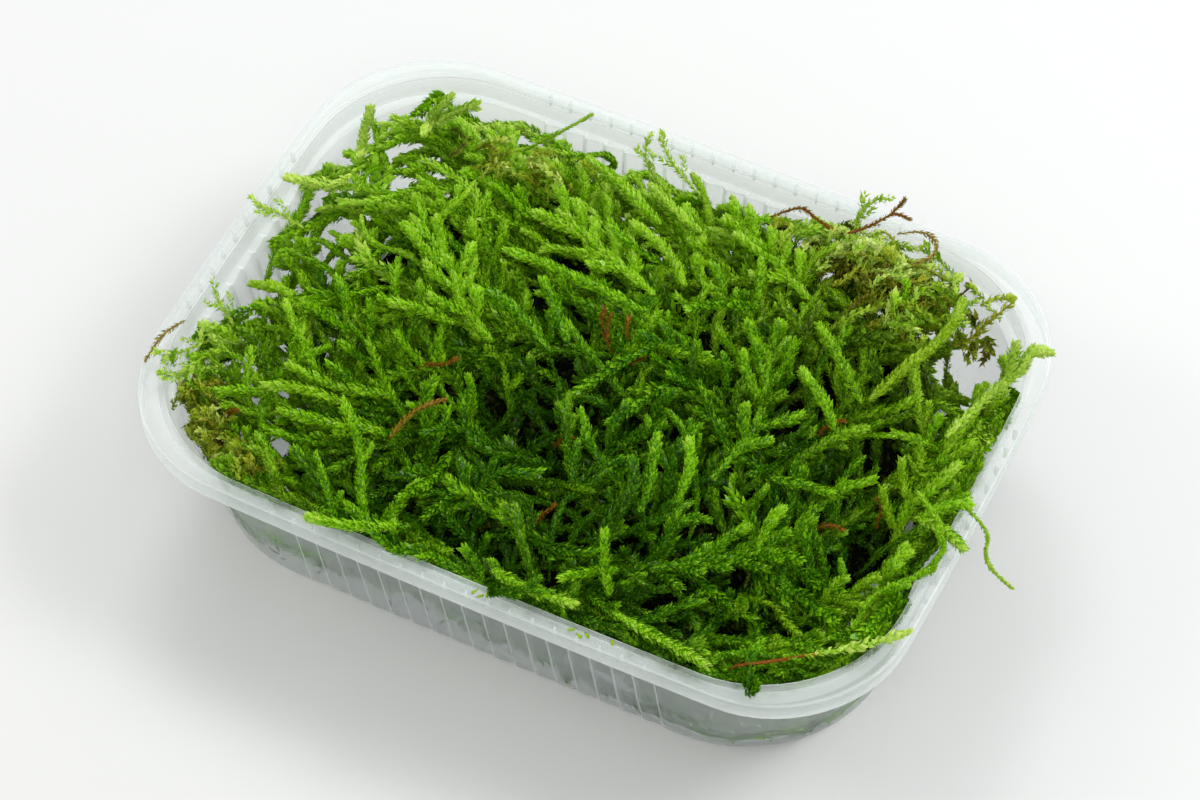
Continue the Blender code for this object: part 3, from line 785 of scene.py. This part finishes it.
class Bed:
    """The bed's living top: gathers shoots, and makes one piece for each region."""

    def __init__(self, rng):
        self.rng = rng
        self.growths = [Growth() for _ in REGIONS]

    def plant(self, paths, style, core, size=None, tone=0.0, tints=None):
        """Leaves and a core along each path, in the warmth of its place, and its tone plus an offset."""
        rng = self.rng
        paths = kept_inside(paths, LEAF_ROOM)
        if tints is None:
            tints = blended(TONES, paths[:, -1, 0], paths[:, -1, 1], TONE_REACH)
            tints[:, 0] += rng.normal(0, 0.12, len(paths))
            tints[:, 1] += rng.normal(0, 0.05, len(paths))
        level = tints[:, 0] + tone
        brown = np.clip(tints[:, 1], 0, 1.6)
        size = np.ones(len(paths)) if size is None else size
        where = region_of(paths)
        for k, growth in enumerate(self.growths):
            chosen = where == k
            if chosen.any():
                part, bright, old, scale = paths[chosen], level[chosen], brown[chosen], size[chosen]
                grow_leaves(growth, part, style, bright, old, rng, scale)
                grow_stems(growth, part, core * MM * scale, bright - 0.12, old)
        return tints

    def fronds(self, spacing, lift, length, per_stem, tone, wander, share=0.34, edge=1.0):
        """Branched fronds over the bed: side branches of up to a share of the frond's length."""
        rng = self.rng
        x, y = scattered(spacing * MM, rng, edge * MM)
        total = len(x)
        heading = heading_at(x, y) + np.radians(rng.normal(0, wander, total))
        reach = rng.uniform(*length, total) * MM
        up = rng.normal(lift, 1.0, total) * MM
        rise, sink = rng.uniform(0.5, 2.5, total) * MM, rng.uniform(4, 8, total) * MM
        stems = lying(x, y, heading, reach, up, rise, sink, rng)
        stems = kept_inside(stems[outside_hollows(stems, rng)], LEAF_ROOM)
        reach = np.linalg.norm(stems[:, -1] - stems[:, 0], axis=1)
        branches, owner = side_branches(stems, per_stem, reach * share, rng)
        keep = outside_hollows(branches, rng, 0.8)
        branches, owner = branches[keep], owner[keep]
        size = rng.uniform(0.72, 1.0, len(stems))
        tints = self.plant(stems, "axis", 0.5, size, tone - 0.05)
        self.plant(branches, "shoot", 0.85, size[owner], tone, tints=tints[owner])

    def shoots(self, spacing, lift, length, tone, wander, style="shoot", core=0.85, buds=0, edge=0.5):
        """Single shoots over the whole bed, about the lie of the moss."""
        x, y = scattered(spacing * MM, self.rng, edge * MM)
        heading = heading_at(x, y) + np.radians(self.rng.normal(0, wander, len(x)))
        self.single(x, y, heading, lift, length, tone, style, core, buds)

    def single(
        self, x, y, heading, lift, length, tone, style="shoot", core=0.85, buds=0, rise=(0, 3)
    ):
        """Single curved shoots at places, some with a few short buds on their sides."""
        rng = self.rng
        total = len(x)
        reach = rng.uniform(*length, total) * MM
        up = (lift + rng.normal(0, 1.3, total)) * MM
        hump, sink = rng.uniform(*rise, total) * MM, rng.uniform(2, 7, total) * MM
        paths = lying(x, y, heading, reach, up, hump, sink, rng, 0.26)
        paths = paths[outside_hollows(paths, rng, 0.0 if style == "coarse" else 0.9)]
        size = rng.uniform(0.55, 1.18, len(paths))
        tints = self.plant(paths, style, core, size, tone)
        if buds:
            longest = np.full(len(paths), 5.0 * MM)
            small, owner = side_branches(paths, buds, longest, rng, (52, 38), 0.6, 0.3)
            keep = rng.random(len(small)) < 0.75
            owner = owner[keep]
            self.plant(small[keep], style, core, size[owner] * 0.85, tone + 0.04, tints=tints[owner])

    def threads(self, x, y, spread, count, length, warm, tone, heading, lift, style):
        """A tuft of thin strands about a place, from a row of TUFTS."""
        rng = self.rng
        at_x, at_y = rng.normal(x, spread[0], count) * MM, rng.normal(y, spread[1], count) * MM
        ways = np.radians(rng.normal(*heading, count))
        lift = rng.normal(lift, 2.2, count) * MM
        hump, sink = rng.uniform(-1, 4, count) * MM, rng.uniform(0, 5, count) * MM
        paths = lying(at_x, at_y, ways, rng.uniform(*length, count) * MM, lift, hump, sink, rng, 0.16)
        tints = np.column_stack([rng.normal(tone, 0.28, count), rng.normal(warm, 0.15, count)])
        self.plant(paths, style, 0.2, rng.uniform(0.8, 1.4, count), tints=tints)


def grow_bed(material, rng):
    """The bed from the bottom up: coarse shoots darkened as painted shade, layers of single shoots and
    fronds, free shoots on top, shoots along the walls, thin pale or yellow-brown tufts at the back right,
    the front left and the back left, long shoots on top of all, brightened as painted light, old brown
    bits, and loose filling at the back right and left."""
    bed = Bed(rng)
    # The tone offsets are painted light and shade: the deeper a layer lies, the darker it is made.
    bed.shoots(9.0, -7.0, (16, 30), -0.30, 45, "coarse", edge=2.0)
    bed.shoots(9.8, -3.2, (14, 30), -0.12, 30, buds=2)
    bed.fronds(23.0, -0.8, (26, 42), 8, -0.02, 28)
    bed.shoots(14.5, 0.4, (16, 38), 0.06, 46, "flat", 0.6, buds=2)
    bed.shoots(15.5, 0.6, (16, 38), 0.06, 46, buds=2)
    bed.shoots(20.0, 0.8, (10, 22), 0.05, 60, "feather", 0.5)
    for count, turn_from, turn_to in ((52, -150, -35), (24, -35, 40)):
        x, y, heading = along_walls(rng, count, turn_from, turn_to, (7.5, 10.0), 18)
        bed.single(x, y, heading, 0.0, (12, 24), 0.05, buds=2, rise=(-1, 2))
    walls = (  # lowest and highest lift, count, and the turns between which they lie
        (-35, -26, 60, -145, 20),
        (-26, -16, 70, -145, 20),
        (-16, -7, 80, -145, 20),
        (-35, -24, 30, 55, 125),
        (-25, -15, 30, 55, 125),
    )
    # Painted shade: the low coarse shoots along the walls are darkened.
    for low, high, count, turn_from, turn_to in walls:
        x, y, heading = along_walls(rng, count, turn_from, turn_to, (8.0, 14.0), 12)
        lift = rng.uniform(low, high, count)
        bed.single(x, y, heading, lift, (14, 30), -0.10, "coarse", rise=(-3, 3))
    for tuft in TUFTS:
        bed.threads(*tuft)
    above = np.concatenate([through(route, 16) for route in TOP_SHOOTS])
    above[..., 2] = np.maximum(above[..., 2], bed_height(above[..., 0], above[..., 1]) + 3.4 * MM)
    # Painted light: the long shoots on top are brightened.
    bed.plant(above, "shoot", 0.85, tone=0.16)
    old = np.array(OLD_BITS, float)
    x, y, heading, length = old.T
    lift, rise, sink = 2.0 * MM, 0.5 * MM, 3.0 * MM
    bits = lying(x * MM, y * MM, np.radians(heading), length * MM, lift, rise, sink, rng)
    tints = np.column_stack([rng.uniform(0.35, 0.8, len(old)), rng.uniform(1.2, 1.5, len(old))])
    bed.plant(bits, "husk", 0.20, tints=tints)
    count = 30  # at the back right
    x, y = rng.normal(38, 8, count) * MM, rng.normal(52, 3, count) * MM
    heading = np.radians(rng.normal(110, 50, count))
    bed.single(x, y, heading, rng.uniform(2, 9, count), (7, 15), 0.45, "feather", 0.3)
    count = 90  # on the left, low
    x, y = rng.uniform(-78, -22, count) * MM, rng.uniform(-50, 42, count) * MM
    heading = heading_at(x, y) + np.radians(rng.normal(0, 35, count))
    bed.single(x, y, heading, -3.5, (14, 28), -0.04, "flat", 0.6)
    for k, region in enumerate(REGIONS):
        made = bed.growths[k].make(f"moss_{region}", material)
        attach(made, "root")
        if k == 0:
            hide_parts("moss_bed")


def make_understorey(material):
    """What lies under the living top: a closed mound, painted near black as the shade under the shoots.
    Its outline is a rounded oblong, |cos t|^0.62 a, |sin t|^0.62 b, with two slight waves, drawn in
    towards the tub's floor. Its top is rings that shrink to the middle, and follows the bed 7 mm lower,
    12 mm at the edge, with small bumps."""
    around = 160
    turn = 2 * np.pi * np.arange(around) / around
    middle = np.array([9.0, -10.0]) * MM
    half = np.array([64.0, 49.0]) * MM
    flat = np.column_stack([np.cos(turn), np.sin(turn)])
    flat = np.sign(flat) * np.abs(flat) ** 0.62 * half
    wave = 1 + 0.03 * np.sin(7 * turn) + 0.02 * np.sin(17 * turn + 1.0)
    flat = flat * wave[:, None]
    rings = []
    for share, height in ((0.78, 2.5), (0.86, 8.0), (0.94, 18.0), (0.98, 26.0)):
        rings.append(np.column_stack([middle + flat * share, np.full(around, height * MM)]))
    for share in np.linspace(1.0, 0.02, 40):
        ring = middle + flat * share
        bumps = 1.2 * MM * np.sin(ring[:, 0] / (1.6 * MM)) * np.sin(ring[:, 1] / (1.4 * MM))
        drop = (7.0 + 5.0 * share**6) * MM
        rings.append(np.column_stack([ring, bed_height(*ring.T) - drop + bumps]))
    points = kept_inside(np.vstack(rings), 2.5 * MM)
    made = piece("moss_understorey", points, closed_skin(len(rings), around), material)
    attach(made, "root")


# Green kinds of loose piece: leaf style, tone and warmth added for the leaves, core radius in mm, and
# tone and warmth added for the core.
KINDS = {
    "shoot": ("shoot", 0.0, 0.0, 0.72, -0.1, 0.0),
    "frond": ("shoot", 0.0, 0.0, 0.72, -0.1, 0.0),
    "strand": ("strand", -0.1, 0.15, 0.28, -0.2, 0.2),
    "pale": ("tuft", 0.35, 0.1, 0.24, 0.1, 0.2),
}
# Old kinds: tone, warmth, core radius in mm and leaf size.
OLD_KINDS = {
    "golden": (1.15, 1.22, 0.20, 1.0),
    "rusty": (0.80, 1.26, 0.22, 1.2),
    "stem": (0.75, 1.32, 0.28, 0.9),
    "pointed": (0.50, 1.04, 0.30, 1.8),
}
# Painted light: tone added to these loose shoots, as if they caught more light, and by how much.
PAINTED_LIGHT_TONE = {  # loose shoots that catch the light, and by how much
    0.20: ("shoot_left_rim", "shoot_front_rim", "shoot_front_upright"),
    0.25: ("shoot_back_left",),
    0.30: ("frond_back_left", "frond_right_rim"),
    0.35: ("shoot_front_mid",),
    0.40: ("shoot_front_corner",),
}


def make_loose(green, brown, rng):
    """One piece for each loose solid, along the same route, in its own kind of leaf."""
    painted_light_tone = {name: more for more, names in PAINTED_LIGHT_TONE.items() for name in names}
    for name, (kind, route) in LOOSE.items():
        growth = Growth()
        path = through(route, ROUTE_STEPS)
        x, y = path[0, :, 0], path[0, :, 1]
        lowest = bed_height(x, y) + 3.2 * MM
        rim = 7.4 * MM
        within = (np.abs(x) < RIM_LENGTH / 2 - rim) & (np.abs(y) < RIM_WIDTH / 2 - rim)
        path[0, :, 2] = np.where(within, np.maximum(path[0, :, 2], lowest), path[0, :, 2])
        tip = path[0, -1]
        tone, warm = blended(TONES, tip[None, 0], tip[None, 1], TONE_REACH).T
        # Painted light: loose pieces stand over the bed, so their tone is raised, more past the rim, and
        # more again for the shoots in the table of painted light.
        tone = tone + (0.18 if within[-1] else 0.30) + painted_light_tone.get(name, 0.0)
        paths = [path]
        if name in FORKS:
            paths.append(through(FORKS[name], ROUTE_STEPS))
        if kind == "frond":
            reach = np.linalg.norm(path[0, -1] - path[0, 0])
            arms, _ = side_branches(path, 9, np.array([reach * 0.34]), rng)
            level, yellow = np.full(len(arms), tone[0]), np.full(len(arms), warm[0])
            grow_leaves(growth, arms, "shoot", level, yellow, rng)
            grow_stems(growth, arms, np.full(len(arms), 0.72 * MM), level - 0.1, yellow)
        for one in paths:
            if kind == "pale":
                arms, _ = side_branches(one, 3, np.array([5.0 * MM]), rng)
                level, yellow = np.full(len(arms), tone[0] + 0.3), np.full(len(arms), warm[0] + 0.1)
                grow_leaves(growth, arms, "tuft", level, yellow, rng)
            if kind in KINDS:
                style, tone_leaf, warm_leaf, core, tone_core, warm_core = KINDS[kind]
                grow_leaves(growth, one, style, tone + tone_leaf, warm + warm_leaf, rng)
                grow_stems(growth, one, [core * MM], tone + tone_core, warm + warm_core)
            elif kind in OLD_KINDS:
                old_tone, old_warm, core, leaf = np.array(OLD_KINDS[kind])[:, None]
                grow_leaves(growth, one, "husk", old_tone, old_warm, rng, leaf)
                grow_stems(growth, one, core * MM, old_tone - 0.1, old_warm + 0.05)
            else:  # old from the root to the middle, green from there to the tip
                tip_size, root_size = np.array([2.0]), np.array([0.7])
                grow_leaves(growth, one[:, 11:], "strand", tone + 0.4, warm + 0.1, rng, tip_size)
                grow_stems(growth, one[:, 9:], [0.4 * MM], tone, warm)
                root, old = Growth(), one[:, :14]
                grow_leaves(root, old, "strand", np.array([0.75]), np.array([1.4]), rng, root_size)
                grow_stems(root, old, [0.34 * MM], np.array([0.7]), np.array([1.45]))
                root = root.make(f"root_{name}", brown)
                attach(root, "root")
        made = growth.make(f"leafy_{name}", brown if kind in OLD_KINDS else green)
        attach(made, "root")
        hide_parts(name)


def small_lumps(places, radii, flat, normals, rng, rough, stretch):
    """Closed lumps, one at each place: a sphere of four rings of six points and two poles, squashed along
    the normal by flat, drawn out across it by stretch, each point pushed in or out at random by rough."""
    total = len(places)
    turn, tilt = np.radians(60.0 * np.arange(6)), np.radians([36.0, 72.0, 108.0, 144.0])
    sphere = [(math.sin(t), a, math.cos(t)) for t in tilt for a in turn]
    rings = [(r * math.cos(a), r * math.sin(a), z) for r, a, z in sphere]
    shape = np.vstack([[0, 0, 1], rings, [0, 0, -1]])
    first = unit(np.cross(normals, rng.normal(0, 1, (total, 3))))
    second = np.cross(normals, first)
    size = radii[:, None] * (1 + rough * rng.normal(0, 1, (total, len(shape))))
    points = (
        places[:, None]
        + first[:, None] * (shape[:, 0] * size * stretch[:, None])[..., None]
        + second[:, None] * (shape[:, 1] * size)[..., None]
        + normals[:, None] * (shape[:, 2] * size * flat)[..., None]
    )
    k = np.arange(6)
    after = (k + 1) % 6
    last = LUMP_POINTS - 1
    top, bottom = [0 * k, 1 + k, 1 + after], [0 * k + last, last - 6 + after, last - 6 + k]
    caps = np.vstack([np.stack(top, 1), np.stack(bottom, 1)])
    sides = 1 + bands(4, 6, inwards=True)
    base = (np.arange(total) * LUMP_POINTS)[:, None, None]
    return points.reshape(-1, 3), [(base + caps).reshape(-1, 3), (base + sides).reshape(-1, 4)]


def on_wall(rng, count, turn_from, turn_to, low, high, off):
    """Places on the inner wall between two turns and two heights, and the wall's inward normals."""
    z = rng.uniform(low, high, count) * MM
    turn = np.radians(rng.uniform(turn_from, turn_to, count))
    x, y, way_x, way_y = walked_to_wall(turn, 0.75, [wall_inset(z) + off] * 4)
    return np.column_stack([x, y, z]), np.column_stack([-way_x, -way_y, np.zeros(count)])


RIM_CRUMBS = (  # crumbs of leaf on the rim: x and y in millimetres
    (4.5, -63.2),
    (6.0, -63.8),
    (7.2, -62.9),
    (26.5, -62.8),
    (28.6, -63.4),
    (30.1, -62.6),
    (35.5, -61.9),
    (86.4, -18.4),
    (86.9, -17.2),
)


def make_specks(green, water, rng):
    """Crumbs of leaf and beads of water on the inside of the front and right walls, and crumbs on the
    rim."""
    beads, flecks = 260, 240
    places, normals = on_wall(rng, beads, -140, 20, 5, 30, -0.25 * MM)
    radii = rng.uniform(0.12, 0.38, beads) * MM
    points, faces = small_lumps(places, radii, 0.6, normals, rng, 0.0, np.ones(beads))
    drops = piece("water_beads", points, faces, water)
    places, normals = on_wall(rng, flecks, -140, 10, 3, 24, 0.0)
    radii, stretch = rng.uniform(0.15, 0.50, flecks) * MM, rng.uniform(1.0, 4.0, flecks)
    on_rim = np.array([(x, y, CRUMB_HEIGHT) for x, y in RIM_CRUMBS]) * MM
    more = np.ones(len(on_rim))
    places = np.vstack([places, on_rim])
    normals = np.vstack([normals, np.tile([0.0, 0.0, 1.0], (len(on_rim), 1))])
    radii = np.concatenate([radii, 0.34 * MM * more])
    stretch = np.concatenate([stretch, 2.6 * more])
    points, faces = small_lumps(places, radii, 0.4, normals, rng, 0.28, stretch)
    tints = np.zeros((len(points), 4))
    tone = np.concatenate([rng.uniform(-0.1, 0.45, flecks), 0.9 * more])
    warm = np.concatenate([rng.choice([0.1, 0.6, 1.4], flecks), 0.4 * more])
    tints[:, 0], tints[:, 1] = np.repeat(tone, LUMP_POINTS), np.repeat(warm, LUMP_POINTS)
    tints[:, 2:] = 0.5
    crumbs = piece("leaf_crumbs", points, faces, green, leaf=tints)
    for made, slot in ((drops, "clear_plastic"), (crumbs, "moss_tips")):
        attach(made, "root")


# ---------------------------------------------------------------- materials


class Value:
    """A socket that takes part in sums: each operator adds one Math node."""

    def __init__(self, nodes, socket):
        self.nodes, self.socket = nodes, socket

    def math(self, operation, other, flipped=False):
        pair = (other, self) if flipped else (self, other)
        return self.nodes.add("ShaderNodeMath", {"operation": operation}, {0: pair[0], 1: pair[1]})

    def __add__(self, other):
        return self.math("ADD", other)

    __radd__ = __add__

    def __sub__(self, other):
        return self.math("SUBTRACT", other)

    def __rsub__(self, other):
        return self.math("SUBTRACT", other, flipped=True)

    def __mul__(self, other):
        return self.math("MULTIPLY", other)

    __rmul__ = __mul__


class Nodes:
    """The node tree of one material."""

    def __init__(self, name):
        self.material = bpy.data.materials.new(name)
        self.material.use_nodes = True
        self.tree = self.material.node_tree
        self.shader = self.tree.nodes["Principled BSDF"]
        self.output = self.tree.nodes["Material Output"]

    def put(self, node, inputs):
        for key, value in inputs.items():
            if isinstance(value, Value):
                self.tree.links.new(value.socket, node.inputs[key])
            else:
                node.inputs[key].default_value = value

    def add(self, kind, settings=None, inputs=None, output=0):
        """Adds a node: its settings first, then the values or links of its sockets."""
        node = self.tree.nodes.new(kind)
        for key, value in (settings or {}).items():
            setattr(node, key, value)
        self.put(node, inputs or {})
        return Value(self, node.outputs[output])

    def mix(self, factor, low, high, blend="MIX"):
        settings = {"data_type": "RGBA", "blend_type": blend, "clamp_factor": True}
        return self.add("ShaderNodeMix", settings, {0: factor, 6: low, 7: high}, output=2)

    def finish(self, **inputs):
        self.put(self.shader, {key.replace("_", " "): value for key, value in inputs.items()})
        return self.material

    def lit_through(self, factor, colour):
        """A factor of the surface lets light from its other side through, in a colour."""
        glow = self.add("ShaderNodeBsdfTranslucent", None, {"Color": colour})
        shader = Value(self, self.shader.outputs[0])
        both = self.add("ShaderNodeMixShader", None, {0: factor, 1: shader, 2: glow})
        self.put(self.output, {"Surface": both})
        return self.material


def rgb(red, green, blue):
    return (red, green, blue, 1.0)


def split(nodes, title):
    """The four parts of a colour attribute."""
    node = nodes.tree.nodes.new("ShaderNodeAttribute")
    node.attribute_name = title
    parts = nodes.tree.nodes.new("ShaderNodeSeparateColor")
    nodes.tree.links.new(node.outputs["Color"], parts.inputs[0])
    return [Value(nodes, parts.outputs[k]) for k in range(3)] + [Value(nodes, node.outputs["Alpha"])]


def leaf_material(name):
    """Wet leaves: dark to bright green by tone, towards yellow and then brown by warmth, lighter to the
    leaf's tip, with painted glints: small highlights in the colour; a share of the light passes through."""
    nodes = Nodes(name)
    tone, warm, along, chance = split(nodes, "leaf")
    place = nodes.add("ShaderNodeTexCoord", output=3)
    cells = nodes.add("ShaderNodeTexVoronoi", None, {"Vector": place, "Scale": 1900.0})
    level = tone + (chance - 0.5) * 0.36 + (along - 0.5) * 0.58
    low = nodes.mix(level * 2.2, rgb(0.006, 0.026, 0.001), rgb(0.044, 0.190, 0.001))
    high = nodes.mix((level - 0.45) * 2.0, low, rgb(0.270, 0.640, 0.002))
    high = nodes.mix((level - 0.95) * 1.6, high, rgb(0.660, 0.880, 0.130))
    yellow = nodes.mix(level * 1.4, rgb(0.060, 0.045, 0.003), rgb(0.460, 0.480, 0.030))
    yellow = nodes.mix((level - 0.9) * 1.4, yellow, rgb(0.780, 0.830, 0.340))
    old = nodes.mix(level, rgb(0.045, 0.012, 0.002), rgb(0.36, 0.110, 0.012))
    leaf = nodes.mix((warm - 1.0) * 3.0, nodes.mix(warm, high, yellow), old)
    # Painted highlight: bright specks in the middles of small cells, stronger where the tone is higher,
    # mixed into the base colour; yellow-green on green leaves, orange-brown on old ones.
    painted_glint = (0.33 - cells) * 5.0 * (level + 0.05)
    bright = nodes.mix((warm - 1.0) * 3.0, rgb(0.62, 0.84, 0.10), rgb(0.50, 0.26, 0.05))
    colour = nodes.mix(painted_glint, leaf, bright)
    bump = {"Strength": 0.85, "Distance": 0.0003, "Height": 1.0 - cells}
    relief = nodes.add("ShaderNodeBump", None, bump)
    nodes.finish(Base_Color=colour, Roughness=0.35, Metallic=0.0, Normal=relief)
    nodes.shader.inputs["Specular IOR Level"].default_value = 0.03
    nodes.shader.inputs["Coat Weight"].default_value = 0.16
    nodes.shader.inputs["Coat Roughness"].default_value = 0.12
    return nodes.lit_through(0.24, rgb(0.12, 0.38, 0.003))


def depth_material():
    """Old moss down in the shade, its colour painted near black as that shade, with brown and green
    grains.
    """
    nodes = Nodes("moss_depth")
    place = nodes.add("ShaderNodeTexCoord", output=3)
    noise = nodes.add("ShaderNodeTexNoise", None, {"Vector": place, "Scale": 900.0, "Detail": 4.0})
    grains = (noise - 0.52) * 5.0
    # Painted shade: the colour is near black, far darker than the moss itself.
    colour = nodes.mix(grains, rgb(0.004, 0.006, 0.002), rgb(0.040, 0.050, 0.010))
    relief = nodes.add("ShaderNodeBump", None, {"Strength": 1.0, "Distance": 0.001, "Height": noise})
    nodes.shader.inputs["Specular IOR Level"].default_value = 0.0
    return nodes.finish(Base_Color=colour, Roughness=0.9, Metallic=0.0, Normal=relief)


def plain(name, colour, roughness):
    return Nodes(name).finish(Base_Color=rgb(*colour), Roughness=roughness, Metallic=0.0)


def plastic_material():
    """Milky polypropylene: see-through where thin, whiter on edges, ribs and at a glancing angle, and it
    lets light from its other side through."""
    nodes = Nodes("milky_plastic")
    dense = split(nodes, "dense")[0]
    glance = nodes.add("ShaderNodeLayerWeight", None, {"Blend": 0.35}, output=1)
    cover = 0.09 + dense * 0.46 + glance * 0.24
    colour = nodes.mix(dense, rgb(0.80, 0.87, 0.85), rgb(0.92, 0.96, 0.95))
    nodes.finish(Base_Color=colour, Roughness=0.2, Metallic=0.0, Alpha=cover)
    return nodes.lit_through(cover * 0.45, rgb(0.94, 0.97, 0.96))


# ---------------------------------------------------------------- the stage


def make_stage():
    bpy.ops.mesh.primitive_plane_add(size=6.0, location=(0, 0, 0))
    floor = bpy.context.object
    floor.name = "floor"
    floor.data.materials.append(plain("pale_floor", (0.685, 0.69, 0.685), 0.7))
    world = bpy.data.worlds.new("studio")
    world.use_nodes = True
    sky = world.node_tree.nodes["Background"]
    sky.inputs["Color"].default_value = rgb(0.95, 0.975, 1.0)
    sky.inputs["Strength"].default_value = 0.70
    bpy.context.scene.world = world
    lamps = (  # name, place, size, power, colour
        ("window_back_left", (-0.40, 0.65, 0.85), 0.35, 3.4, (1.0, 1.0, 1.0)),
        ("window_back_right", (0.60, 0.45, 0.80), 0.35, 5.0, (1.0, 1.0, 1.0)),
        ("fill_front", (0.35, -0.60, 0.90), 0.35, 2.0, (1.0, 0.94, 0.82)),
        ("fill_left", (-0.80, -0.25, 0.70), 0.30, 1.8, (1.0, 0.96, 0.88)),
    )
    for name, place, size, power, colour in lamps:
        light = bpy.data.lights.new(name, "AREA")
        light.color = colour
        light.size = size
        light.energy = power
        lamp = bpy.data.objects.new(name, light)
        lamp.location = place
        lamp.rotation_euler = Vector(place).to_track_quat("Z", "Y").to_euler()
        bpy.context.scene.collection.objects.link(lamp)


def make_camera():
    """A camera that looks at a point near the middle of the tub's rim, from an azimuth, an elevation and
    a distance, rolled a little."""
    target = np.array([0.0057, -0.0087, 0.039])
    azimuth, elevation, roll = np.radians([28.933, 53.893, -2.545])
    distance = 0.777
    flat, rise = math.cos(elevation), math.sin(elevation)
    back = np.array([math.sin(azimuth) * flat, -math.cos(azimuth) * flat, rise])
    level = np.array([math.cos(azimuth), math.sin(azimuth), 0.0])
    up = np.cross(back, level)
    right = math.cos(roll) * level + math.sin(roll) * up
    top = -math.sin(roll) * level + math.cos(roll) * up
    place = target + back * distance
    camera = bpy.data.objects.new("camera", bpy.data.cameras.new("camera"))
    camera.data.lens = 109.8
    camera.data.sensor_width = 36.0
    camera.data.clip_start = 0.01
    axes = np.eye(4)
    axes[:3, :3] = np.column_stack([right, top, back])
    axes[:3, 3] = place
    camera.matrix_world = Matrix(axes.tolist())
    bpy.context.scene.collection.objects.link(camera)
    bpy.context.scene.camera = camera


# ---------------------------------------------------------------- everything together


def main():
    rng = np.random.default_rng(7)
    milky = plastic_material()
    moss = leaf_material("moss")
    stem = leaf_material("old_stem")
    # The understorey's near-black material is painted shade.
    dark = depth_material()

    tub = make_tub(milky)
    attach(tub, "root")
    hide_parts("tub")
    ribs = make_rim_ribs(milky)
    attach(ribs, "root")

    make_understorey(dark)
    grow_bed(moss, rng)
    make_loose(moss, stem, rng)
    water = plain("water", (0.85, 0.90, 0.90), 0.04)
    water.node_tree.nodes["Principled BSDF"].inputs["Alpha"].default_value = 0.35
    make_specks(moss, water, rng)

    make_stage()
    make_camera()
    bpy.context.scene.view_settings.view_transform = "Standard"


main()
